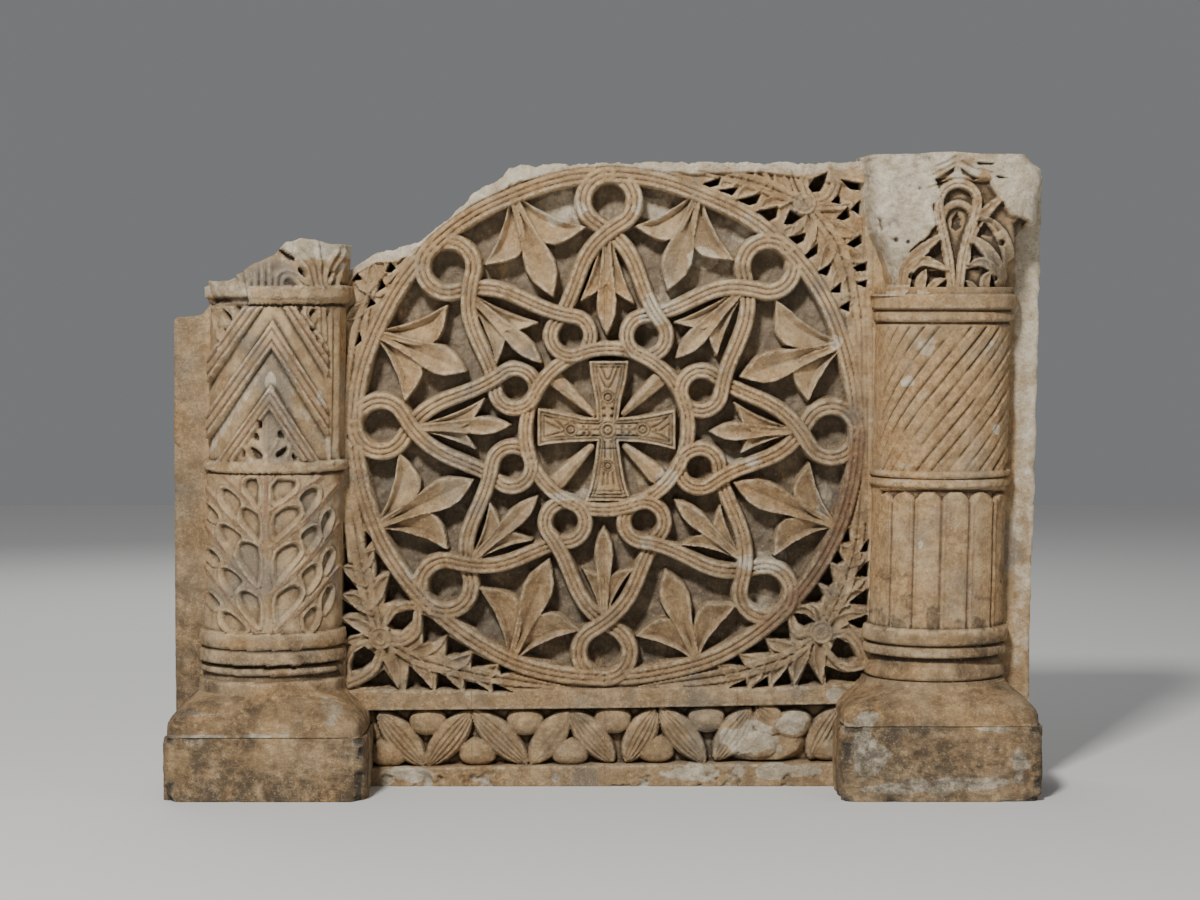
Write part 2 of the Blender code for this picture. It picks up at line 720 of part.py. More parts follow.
def right_column(collection):
    lean = COLUMN_LEAN
    centre_x = COLUMN_X - 0.010
    r = COLUMN_RADIUS - 0.002
    top = SLAB_TOP + 0.010
    profile = (
        (0.0, top), (r + 0.030, top), (r + 0.028, top - 0.050), (r + 0.012, top - 0.110),
        (r, RIGHT_NECK + 0.032), (r + 0.005, RIGHT_NECK + 0.030), (r + 0.005, RIGHT_NECK + 0.006),
        (r, RIGHT_NECK + 0.004), (r + 0.002, RIGHT_NECK - 0.014),
        (r - 0.008, RIGHT_NECK - 0.016), (r - 0.008, RIGHT_WAIST + 0.024),
        (r + 0.001, RIGHT_WAIST + 0.022), (r + 0.001, RIGHT_WAIST),
        (r - 0.012, RIGHT_WAIST - 0.002), (r - 0.012, RIGHT_FOOT + 0.010),
        (r + 0.003, RIGHT_FOOT), (r + 0.003, RIGHT_FOOT - 0.018), (r, RIGHT_FOOT - 0.022),
        (r + 0.005, RIGHT_FOOT - 0.027), (r + 0.004, RIGHT_FOOT - 0.040), (r - 0.004, RIGHT_FOOT - 0.046),
        (r + 0.004, RIGHT_FOOT - 0.062), (r + 0.008, RIGHT_PLINTH_HEIGHT + 0.050),
        (0.0, RIGHT_PLINTH_HEIGHT + 0.048))
    shaft = turned("right_shaft", profile, (centre_x, 0, 0), lean, collection)
    wound = ((-0.20, top + 0.04), (-0.20, top - 0.160), (-0.090, top - 0.170),
             (-0.015, top - 0.030), (0.0, top + 0.04))
    middle = centre_x + lean * top
    cutter = loft("capital_break",
                  [[(middle + x, -0.30, z) for x, z in wound],
                   [(middle + x, -0.098, z) for x, z in wound]], collection)
    boolean(shaft, cutter, "DIFFERENCE")
    box("abacus_end", (middle, -0.096, top - 0.112), (BLOCK_HALF, 0.01, top - 0.004),
        collection, 0.020)
    left = FIELD_HALF - 0.008
    flank = ((left, top - 0.006), (left, top - 0.080), (left + 0.018, top - 0.130),
             (left + 0.038, top - 0.185), (middle - 0.04, top - 0.185), (middle - 0.04, top - 0.006))
    prism("capital_side", flank, collection, -0.078, 0.010)
    fluted_drum("twisted_drum", (centre_x, lean, r), 24, 0.006, math.radians(107),
                RIGHT_WAIST + 0.018, RIGHT_NECK - 0.008, 4, collection)
    count = 16
    column = (centre_x, lean, r - 0.008)
    for i in range(-4, 5):
        angle = i * 2 * math.pi / count + 0.05
        path = [(angle, RIGHT_FOOT), (angle, RIGHT_WAIST - 0.014), (angle, RIGHT_WAIST - 0.004)]
        reed(f"reed_{i + 4}", column, path, 0.0155, collection)
    capital = (centre_x, lean, r + 0.006)
    arch = []
    for i in range(7):
        turn = -2.3 + 4.6 * i / 6
        arch.append((0.14 + 0.024 / r * math.sin(turn), RIGHT_NECK + 0.126 + 0.026 * math.cos(turn)))
    arch = [(0.08, RIGHT_NECK + 0.024)] + arch + [(0.20, RIGHT_NECK + 0.024)]
    column_strip("capital_arch", capital, arch, 0.005, 0.022, collection)
    for number, (start, finish) in enumerate((
            ((-0.42, 0.030), (-0.72, 0.115)), ((-0.40, 0.030), (-0.16, 0.085)),
            ((-0.52, 0.030), (-0.25, 0.060)), ((0.62, 0.030), (0.38, 0.080)),
            ((0.66, 0.030), (0.70, 0.115)), ((0.60, 0.030), (0.30, 0.055)))):
        path = [(a, RIGHT_NECK + z) for a, z in (start, finish)]
        column_strip(f"capital_leaf_{number}", capital, path, 0.007, 0.020, collection)
    base("right_base", RIGHT_PLINTH_HEIGHT, COLUMN_X - 0.009, collection)


def reed(name, column, path, half_width, collection):
    """A rod of half-round section along a column, with a rounded top."""
    centre_x, lean, radius = column
    sections = []
    shrink = (1.0, 1.0, 0.45)
    for (angle, height), share in zip(path, shrink):
        ring = []
        for across, out in ((-1.0, -ROOT), (-1.0, 0.002), (-0.6, 0.009), (0.6, 0.009), (1.0, 0.002),
                            (1.0, -ROOT)):
            turn = angle + across * half_width * share / radius
            ring.append(column_point(centre_x, lean, radius + out, turn, height))
        sections.append(ring)
    return loft(name, sections, collection)


# The slab


def slab_outline():
    """The block's outline seen from the carved side, with its broken top."""
    w = SLAB_HALF
    top = SLAB_TOP
    right = [(-w, 0.0), (w - 0.013, 0.0), (w - 0.013, 0.30), (w - 0.006, 0.50), (w - 0.002, 0.70),
             (w - 0.001, top - 0.03), (w - 0.010, top + 0.004), (COLUMN_X, top + 0.012),
             (FIELD_HALF, top + 0.003)]
    break_line = [(-0.140, top), (-0.160, top - 0.010), (-0.192, top - 0.040), (-0.236, top - 0.086),
                  (-0.272, top - 0.108), (-0.330, top - 0.124), (-0.368, top - 0.140)]
    left = [(-0.402, top - 0.126), (-0.440, top - 0.120), (-0.472, top - 0.132),
            (-0.535, top - 0.170), (-0.585, top - 0.180), (-0.588, top - 0.217),
            (-w + 0.005, top - 0.224), (-w + 0.002, 0.30)]
    return right + break_line + left


def field_cutter(collection, parent):
    """What is cut out between the columns, down to the ground of the relief."""
    left = -FIELD_HALF - 0.004
    right = FIELD_HALF - 0.006
    top = ROUNDEL_CENTRE + RING_RADIUS
    reach = RING_RADIUS - 0.002
    outline = [(left, BORDER_TOP), (right, BORDER_TOP + BORDER_RISE), (right, top - 0.004),
               (0.02, top), (-0.02, top)]
    for share in (0.30, 0.55, 0.75, 0.95):
        place = polar(-share, reach)
        outline.append((place.x, place.y + ROUNDEL_CENTRE))
    outline.append((left, ROUNDEL_CENTRE + reach * 0.55))
    return flat_outline("field", outline, GROUND, 0.03, collection, parent)


def frieze_cutter(collection, parent):
    """The sunk band between the two fillets of the border."""
    half = COLUMN_X - PLINTH_WIDTH / 2 + 0.012
    low = LOW_FILLET
    high = LOW_FILLET + FRIEZE_HEIGHT
    outline = [(-half, low), (half, low + BORDER_RISE), (half, high + BORDER_RISE), (-half, high)]
    return flat_outline("frieze", outline, -FRIEZE_DEPTH, 0.03, collection, parent)


def main():
    clear_scene()
    parts = new_collection("chancel_screen_panel")
    carving = new_collection("carving")
    cutters = new_collection("cutters")
    guides = new_collection("guides")
    face = bpy.data.objects.new("carved_face", None)
    guides.objects.link(face)
    face.rotation_euler = (math.pi / 2, 0, 0)
    bpy.context.view_layer.update()

    panel = flat_outline("chancel_panel", slab_outline(), -SLAB_THICKNESS, 0.0, parts, face)
    panel.hide_render = False
    panel.display_type = "TEXTURED"
    panel.data.materials.append(stone_material())

    field_cutter(cutters, face)
    frieze_cutter(cutters, face)
    section = band_profile(guides)
    interlace(section, carving, face)
    roundel_leaves(carving, face)
    cross(carving, face)
    corner_sprays(carving, face)
    border(carving, face)
    left_column(carving)
    right_column(carving)
    for cutter in ("left_break", "capital_break"):
        item = bpy.data.objects[cutter]
        carving.objects.unlink(item)
        guides.objects.link(item)

    boolean(panel, cutters, "DIFFERENCE", collection=True)
    # The exact solver leaves a few open edges in this union, so it takes the other one
    boolean(panel, carving, "UNION", collection=True, solver="MANIFOLD")
    plain = panel.modifiers.new("plain_faces", "DECIMATE")
    plain.decimate_type = "DISSOLVE"
    plain.angle_limit = math.radians(2)


main()
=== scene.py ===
"""Chancel screen panel of carved limestone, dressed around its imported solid.

The carving is set out on a drawing: u runs to the right and v down, one unit is 1.45 mm of the
carved face. Relief heights are millimetres, nought at the carved face and less into the stone.
In the world x is to the right, y into the stone and z up, all in metres.
"""
from __future__ import annotations

import logging
import math
from dataclasses import dataclass
from enum import Enum

import bmesh
import bpy
import numpy as np
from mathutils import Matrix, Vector

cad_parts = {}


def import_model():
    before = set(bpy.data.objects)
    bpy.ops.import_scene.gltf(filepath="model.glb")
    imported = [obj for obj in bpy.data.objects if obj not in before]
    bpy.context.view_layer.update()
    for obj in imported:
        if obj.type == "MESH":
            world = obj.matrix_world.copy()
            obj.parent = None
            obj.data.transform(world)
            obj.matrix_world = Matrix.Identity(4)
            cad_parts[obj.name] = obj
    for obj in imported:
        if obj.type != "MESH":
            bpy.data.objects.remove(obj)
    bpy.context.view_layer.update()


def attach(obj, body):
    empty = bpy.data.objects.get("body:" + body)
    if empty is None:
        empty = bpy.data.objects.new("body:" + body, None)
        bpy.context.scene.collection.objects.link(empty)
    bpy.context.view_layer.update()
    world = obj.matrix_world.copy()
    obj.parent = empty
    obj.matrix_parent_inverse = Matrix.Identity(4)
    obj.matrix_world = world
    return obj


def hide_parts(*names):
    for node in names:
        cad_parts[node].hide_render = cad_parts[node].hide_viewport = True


LOG = logging.getLogger("chancel_panel")
Array = np.ndarray
Point = tuple[float, float]
Outline = list[Point] | tuple[Point, ...] | Array

UNIT = 0.00145               # metres to one unit of the drawing
MIDDLE = 607.5               # u of the middle of the block
FLOOR = 787.0                # v of the floor
EYE_DISTANCE = 4.5           # from the carved face to the eye that the drawing is seen from
EYE_V = 230.0                # v of the eye's height
MM = 0.001
SLAB_BACK = 0.140
GROUND = -45.0               # the field's ground
FRIEZE_GROUND = -28.0
WALL_FALL = 60.0             # drop of a wall past an edge, more than any depth here
SHAFT_NEARER = 1.0205        # how much larger the shafts' faces look than the slab's
CAPITAL_NEARER = 1.022
TOP_NEARER = 1.02


class Side(Enum):
    """The slab's two side edges; each value is its piece's name."""

    LEFT = "slab_left_edge"
    RIGHT = "slab_right_edge"


class Stain(Enum):
    """What colours the stone: pale breaks with some painted light, red paint, warm skin, and dark grime with
    painted shade.
    """

    PALE = "pale"
    RED = "red"
    WARM = "warm"
    SOIL = "soil"


class Hue(Enum):
    """The stone's colours: red, green and blue as everyday values out of 255."""

    DULL = (142, 118, 87)
    LIGHT = (196, 170, 131)
    BROWN = (140, 106, 65)
    GOLDEN = (198, 158, 105)
    ASH = (138, 129, 115)
    BARE = (126, 117, 104)
    BROKEN = (182, 166, 138)
    FRESH = (214, 202, 180)
    FRECKLE = (160, 142, 112)
    # Painted highlight on ridges, partly rubbed edges.
    RUBBED_AND_HIGHLIGHT = (212, 195, 164)
    SCUFF = (212, 198, 172)
    PAINT = (114, 66, 48)
    # Dark grime, and painted shade in holes, incisions and grooves.
    SOOT_AND_SHADE = (62, 53, 42)
    # Painted shade in recesses, partly grime.
    GRIME_AND_SHADE = (54, 45, 36)
    VEIN = (80, 63, 44)
    CRUMB = (84, 66, 47)
    FLECK = (222, 206, 176)


# Numbers on grids


def smooth(t: Array) -> Array:
    """Nought below 0, one above 1 and an S-shaped rise between."""
    t = np.clip(t, 0.0, 1.0)
    return t * t * (3.0 - 2.0 * t)


def lattice(ix: Array, iy: Array, iz: Array, seed: int) -> Array:
    """Repeatable random values from -1 to 1 at whole-numbered places.

    Args:
        ix: First whole-numbered coordinate.
        iy: Second.
        iz: Third.
        seed: Which set of values.

    Returns:
        One value to each place.
    """
    h = ix * 374761393 + iy * 668265263 + iz * 1440662683 + seed * 974634777
    h = h & 0xFFFFFFFF
    h = ((h ^ (h >> 13)) * 1274126177) & 0xFFFFFFFF
    h = ((h ^ (h >> 15)) * 2246822519) & 0xFFFFFFFF
    h = h ^ (h >> 16)
    return h.astype(float) / 2147483647.5 - 1.0


def noise(x: Array, y: Array, z: Array, size: float, seed: int, octaves: int = 3) -> Array:
    """Cloudy noise: lattice values blended smoothly, each octave half the size and strength.

    Args:
        x: Places.
        y: Places.
        z: Places.
        size: Size of the largest lumps, in the places' own units.
        seed: Which noise.
        octaves: How many sizes of lump.

    Returns:
        Values that mostly lie between -1 and 1.
    """
    total = np.zeros(np.broadcast(x, y, z).shape)
    weight = 1.0
    for octave in range(octaves):
        step = size / 2**octave
        px, py, pz = x / step + 17.3, y / step + 5.1, z / step + 9.7
        fx, fy, fz = np.floor(px), np.floor(py), np.floor(pz)
        ix, iy, iz = fx.astype(np.int64), fy.astype(np.int64), fz.astype(np.int64)
        tx, ty, tz = smooth(px - fx), smooth(py - fy), smooth(pz - fz)
        value = 0.0
        for dx in (0, 1):
            for dy in (0, 1):
                for dz in (0, 1):
                    share = (tx if dx else 1 - tx) * (ty if dy else 1 - ty) * (tz if dz else 1 - tz)
                    value = value + share * lattice(ix + dx, iy + dy, iz + dz, seed + octave)
        total = total + weight * value
        weight *= 0.5
    return total


def blur(values: Array, radius: int) -> Array:
    """Each value replaced by the mean over a square round it, taken twice.

    Args:
        values: A grid.
        radius: Half the square's side, in cells.

    Returns:
        The softened grid.
    """
    for _ in range(2):
        for axis in (0, 1):
            pads = [(0, 0), (0, 0)]
            pads[axis] = (radius + 1, radius)
            total = np.cumsum(np.pad(values, pads, mode="edge"), axis=axis)
            count = values.shape[axis]
            high = np.take(total, np.arange(count) + 2 * radius + 1, axis=axis)
            low = np.take(total, np.arange(count), axis=axis)
            values = (high - low) / (2 * radius + 1)
    return values


def line_through(points: Outline, steps: int = 40) -> Array:
    """A smooth line through given points, each stretch a Catmull-Rom cubic.

    Args:
        points: Where it passes.
        steps: How many points the line gets.

    Returns:
        The line's points, (u, v).
    """
    p = np.array(points, float)
    if len(p) == 2:
        t = np.linspace(0, 1, steps)[:, None]
        return p[0] * (1 - t) + p[1] * t
    ends = np.vstack([2 * p[0] - p[1], p, 2 * p[-1] - p[-2]])
    t = np.linspace(0, len(p) - 1 - 1e-9, steps)
    i = t.astype(int)
    f = (t - i)[:, None]
    a, b, c, d = ends[i], ends[i + 1], ends[i + 2], ends[i + 3]
    return 0.5 * (2 * b + (c - a) * f + (2 * a - 5 * b + 4 * c - d) * f**2
                  + (3 * b - a - 3 * c + d) * f**3)


def lengths_of(line: Array) -> Array:
    """Arc length from the line's start to each of its points."""
    steps = np.hypot(*np.diff(line, axis=0).T)
    return np.concatenate([[0.0], np.cumsum(steps)])


def along(u: Array, v: Array, line: Array) -> tuple[Array, Array]:
    """Nearest place on a line of points.

    Args:
        u: Places asked about, flat.
        v: Places asked about, flat.
        line: The line's points.

    Returns:
        Distance, positive on the line's left as it is walked on the drawing, and arc length.
    """
    best = np.full(u.shape, 1e9)
    side = np.zeros(u.shape)
    where = np.zeros(u.shape)
    starts = lengths_of(line)
    for i in range(len(line) - 1):
        a, b = line[i], line[i + 1]
        du, dv = b - a
        length = math.hypot(du, dv)
        if length < 1e-9:
            continue
        pu, pv = u - a[0], v - a[1]
        t = np.clip((pu * du + pv * dv) / length**2, 0, 1)
        away = np.hypot(pu - t * du, pv - t * dv)
        closer = away < best
        best = np.where(closer, away, best)
        side = np.where(closer, pu * dv - pv * du, side)
        where = np.where(closer, starts[i] + t * length, where)
    return np.where(side >= 0, best, -best), where


def inside(u: Array, v: Array, outline: Outline) -> Array:
    """Distance to a closed outline, negative within it.

    Args:
        u: Places, any shape.
        v: Places, any shape.
        outline: The outline's corners.

    Returns:
        Signed distance in drawing units.
    """
    points = np.array(outline, float)
    best = np.full(u.shape, 1e9)
    within = np.zeros(u.shape, bool)
    for a, b in zip(points, np.roll(points, -1, axis=0)):
        du, dv = b - a
        pu, pv = u - a[0], v - a[1]
        t = np.clip((pu * du + pv * dv) / max(du * du + dv * dv, 1e-12), 0, 1)
        best = np.minimum(best, np.hypot(pu - t * du, pv - t * dv))
        if dv != 0:
            spans = (a[1] > v) != (b[1] > v)
            within ^= spans & (u < a[0] + du * pv / dv)
    return np.where(within, -best, best)


# The drawing and its relief


class Relief:
    """Heights in millimetres and stains from 0 to 1, over places of the drawing."""

    def __init__(self, u: Array, v: Array, height: Array | float = 0.0) -> None:
        """Lays the relief out at one height.

        Args:
            u: Places to the right, a grid.
            v: Places down, a grid of the same shape.
            height: What it starts from.
        """
        self.u = u
        self.v = v
        self.height = np.zeros(u.shape) + height
        self.stained = {stain: np.zeros(u.shape) for stain in Stain}

    def hollow(self, scales: tuple[tuple[int, float, float], ...]) -> Array:
        """How sunk each place is against its surroundings, 0.5 where it is level with them.

        Args:
            scales: Blur radius in cells, depth in millimetres that counts as full, and weight.

        Returns:
            Values from 0, on ridges, to 1, in deep grooves.
        """
        total = np.zeros(self.u.shape)
        for radius, full, weight in scales:
            total = total + weight * np.clip((blur(self.height, radius) - self.height) / full, -1, 1)
        return np.clip(0.5 + 0.5 * total, 0, 1)

    def stains(self, hollow: Array) -> Array:
        """The five channels side by side: pale, red, warm, hollow, and dark grime with painted shade."""
        pale, red, warm, soil = (self.stained[stain] for stain in Stain)
        return np.stack([pale, red, warm, hollow, soil], axis=-1)

    def tint(self, stain: Stain, amount: Array, at: tuple[Array, ...] | None = None) -> None:
        """Raises one stain to an amount wherever it is below it.

        Args:
            stain: Which stain.
            amount: The least that there is to be.
            at: The places that the amount is for, or all of them.
        """
        held = self.stained[stain]
        if at is None:
            np.maximum(held, amount, out=held)
        else:
            held[at] = np.maximum(held[at], amount)

    def near(self, line: Array, reach: float) -> tuple[Array, ...] | None:
        """Which places lie within reach of a line's own box, or None if none do.

        Args:
            line: The line's points.
            reach: How far past the box still counts.

        Returns:
            Where they are in the grid, or None.
        """
        low, high = line.min(axis=0) - reach, line.max(axis=0) + reach
        hit = (self.u > low[0]) & (self.u < high[0]) & (self.v > low[1]) & (self.v < high[1])
        return np.nonzero(hit) if hit.any() else None

    def raise_to(self, at: tuple[Array, ...], height: Array) -> Array:
        """Lifts the relief where this height is above it, and says where it did.

        Args:
            at: The places.
            height: Their least height.

        Returns:
            Whether each place was lifted.
        """
        lifted = height > self.height[at]
        self.height[at] = np.maximum(self.height[at], height)
        return lifted

    def band(self, line: Array, dips: Array, half: Array | float, cords: int = 3,
             groove: float = 4.4, crest: float = 0.0, wall: float = 1.5) -> None:
        """A flat band cut into rounded cords.

        Across the band each cord is an arch, its height falling by groove with the power 2.8 of
        the distance from the cord's middle; past the edge a smooth wall falls to the ground.

        Args:
            line: The band's middle.
            dips: How far the band lies below its crest at each point of the line.
            half: Half the band's width, or one for each point of the line.
            cords: Number of cords.
            groove: Depth between the cords.
            crest: Height of the cords.
            wall: Width of the wall on the drawing.
        """
        at = self.near(line, 14)
        if at is None:
            return
        side, where = along(self.u[at], self.v[at], line)
        starts = lengths_of(line)
        dip = np.interp(where, starts, np.broadcast_to(dips, starts.shape))
        width = np.interp(where, starts, np.broadcast_to(half, starts.shape))
        t = side / width
        phase = np.mod((np.clip(t, -0.999, 0.999) + 1) * cords / 2, 1.0) * 2 - 1
        arch = groove * np.abs(phase)**2.8
        past = np.abs(side) - width
        height = crest - dip - arch - WALL_FALL * smooth(past / (wall * 1.9))
        lifted = self.raise_to(at, height)
        deep = lifted & (past < 0.3)
        groovy = np.abs(phase)**6 * (np.abs(t) < 0.8)
        # Red paint in the grooves between the cords, with dark grime and painted shade there.
        for stain, strength in ((Stain.RED, 0.9), (Stain.SOIL, 0.8)):
            held = self.stained[stain]
            held[at] = np.where(deep, strength * groovy, held[at])

    def lobe(self, line: Array, left: list[Point], right: list[Point], crest: float = -3.0,
             valley: float = 9.0, wall: float = 1.3, round_off: float = 0.0) -> None:
        """A pointed leaf lobe with a V-shaped vein along its middle.

        The height falls from the crest at either edge to the vein by valley, evenly across, and
        less towards the lobe's two ends; past the edge a smooth wall falls to the ground.

        Args:
            line: The vein, from root to tip.
            left: Half width on the left of the vein against the share of the length.
            right: The same on the right.
            crest: Height of the edges.
            valley: Depth of the vein below them.
            wall: Width of the wall on the drawing.
            round_off: How far the edges bend down, for worn lobes.
        """
        at = self.near(line, max(w for _, w in left + right) + 4)
        if at is None:
            return
        side, where = along(self.u[at], self.v[at], line)
        share = where / lengths_of(line)[-1]
        wide_left = np.interp(share, *zip(*left))
        wide_right = np.interp(share, *zip(*right))
        width = np.maximum(np.where(side >= 0, wide_left, wide_right), 0.3)
        t = np.abs(side) / width
        deep = valley * smooth(share / 0.25 + 0.25) * smooth((1.0 - share) / 0.35 + 0.1)
        past = np.abs(side) - width
        height = (crest - deep * np.clip(1 - t, 0, 1) - round_off * np.clip(t, 0, 1)**3
                  - WALL_FALL * smooth(past / (wall * 2.0)))
        self.raise_to(at, height)

    def pit(self, outline: Outline, depth: float, wall: float = 1.6) -> None:
        """Sinks the inside of an outline, with sloping sides.

        Args:
            outline: Its corners.
            depth: How deep.
            wall: Width of the sloping sides.
        """
        at = self.near(np.array(outline, float), 4)
        if at is None:
            return
        away = inside(self.u[at], self.v[at], outline)
        self.height[at] = self.height[at] - depth * smooth(-(away - 0.6) / wall)

    def hole(self, u: float, v: float, radius: float, depth: float) -> None:
        """A round drilled hole, with painted shade inside.

        Args:
            u: Its middle.
            v: Its middle.
            radius: Its radius on the drawing.
            depth: How deep.
        """
        away = np.hypot(self.u - u, self.v - v)
        self.height = self.height - depth * smooth((radius + 0.6 - away) / 1.5)
        self.tint(Stain.SOIL, 0.8 * smooth((radius + 0.3 - away) / 1.2))

    def cut(self, points: Outline, depth: float, half: float = 1.0) -> None:
        """An incised line of V section, with painted shade inside.

        Args:
            points: Where it runs.
            depth: How deep.
            half: About half its width.
        """
        line = line_through(points, 4 + 8 * len(points)) if len(points) > 2 else np.array(points, float)
        at = self.near(line, half + 2)
        if at is None:
            return
        side, _ = along(self.u[at], self.v[at], line)
        share = np.clip(1 - np.abs(side) / (half * 1.4), 0, 1)
        self.height[at] = self.height[at] - depth * share
        self.tint(Stain.SOIL, min(0.25 * depth, 0.9) * share, at)

    def ridge(self, points: Outline, height: float, half: float) -> None:
        """A raised roll that is added to what is there; its section is a half cosine.

        Args:
            points: Where it runs.
            height: How high.
            half: Half its width.
        """
        line = line_through(points, 24)
        at = self.near(line, half + 2)
        if at is None:
            return
        side, _ = along(self.u[at], self.v[at], line)
        t = np.clip(np.abs(side) / half, 0, 1)
        self.height[at] = self.height[at] + height * np.cos(t * math.pi / 2)**1.3

    def patch(self, u: float, v: float, wide: float, high: float, amount: float, seed: int) -> None:
        """A pale patch of broken or mended stone with a ragged edge.

        Args:
            u: Its middle.
            v: Its middle.
            wide: Half its width.
            high: Half its height.
            amount: How pale.
            seed: Which ragged edge.
        """
        away = np.hypot((self.u - u) / wide, (self.v - v) / high)
        ragged = away + 0.35 * noise(self.u, self.v, self.u * 0 + seed, 14, seed)
        self.tint(Stain.PALE, amount * smooth((1.05 - ragged) / 0.35))


def seen_at(x: Array, y: Array, z: Array) -> tuple[Array, Array]:
    """Where a place of the stone lies on the drawing, seen from the eye.

    Args:
        x: World x.
        y: World y, the depth behind the carved face.
        z: World z.

    Returns:
        The drawing's u and v.
    """
    near = EYE_DISTANCE / (EYE_DISTANCE + y)
    eye_height = (FLOOR - EYE_V) * UNIT
    return MIDDLE + x * near / UNIT, EYE_V + (eye_height - z) * near / UNIT


def rounded(outline: Outline) -> Array:
    """Cuts the corners of a closed outline: each side keeps the middle half of its length.

    Args:
        outline: Its corners.

    Returns:
        The corners of the rounder outline.
    """
    corners = np.array(outline, float)
    following = np.roll(corners, -1, axis=0)
    pairs = np.stack([0.75 * corners + 0.25 * following, 0.25 * corners + 0.75 * following], axis=1)
    return pairs.reshape(-1, 2)


def level(v: Array | float, depth: float = -0.1) -> Array | float:
    """Height above the floor of a place seen at v, at this depth."""
    near = EYE_DISTANCE / (EYE_DISTANCE + depth)
    return (FLOOR - EYE_V) * UNIT - (np.asarray(v, float) - EYE_V) * UNIT / near


# The roundel


# Incised lines of the cross's arms
CROSS_CUTS = (
    ((596, 366), (608, 387), (619, 366)), ((601, 366), (608, 379), (614, 366)), ((545, 415), (556, 420),
    (564, 427)), ((545, 436), (556, 433), (564, 431)), ((545, 421), (560, 428)), ((669, 415), (660, 423),
    (652, 427)), ((670, 440), (660, 434), (652, 431)), ((668, 424), (660, 430), (656, 429)), ((604, 472),
    (603, 484)), ((608, 470), (608, 484)), ((613, 472), (614, 484)), ((605, 441), (605, 457)), ((611, 441),
    (611, 457)), ((600, 448), (616, 448)), ((577, 429), (599, 429)), ((617, 429), (636, 429)), ((576, 423),
    (599, 423)), ((576, 435), (599, 435)), ((617, 423), (640, 423)), ((617, 435), (640, 435))
)

# Incised circles of the cross: middle and radius
CROSS_CIRCLES = (
    (608, 429.5, 7.5), (608, 396.5, 6.0), (571, 429, 6.4), (643, 429, 6.6), (608, 465, 5.0)
)

# Drilled dots of the cross
CROSS_DOTS = (
    (604, 408), (612.5, 408), (604.5, 415.5), (612, 415.5), (584, 426), (590, 426), (584, 432.5),
    (590, 432.5), (623, 426), (630, 426), (623, 432), (630, 432)
)


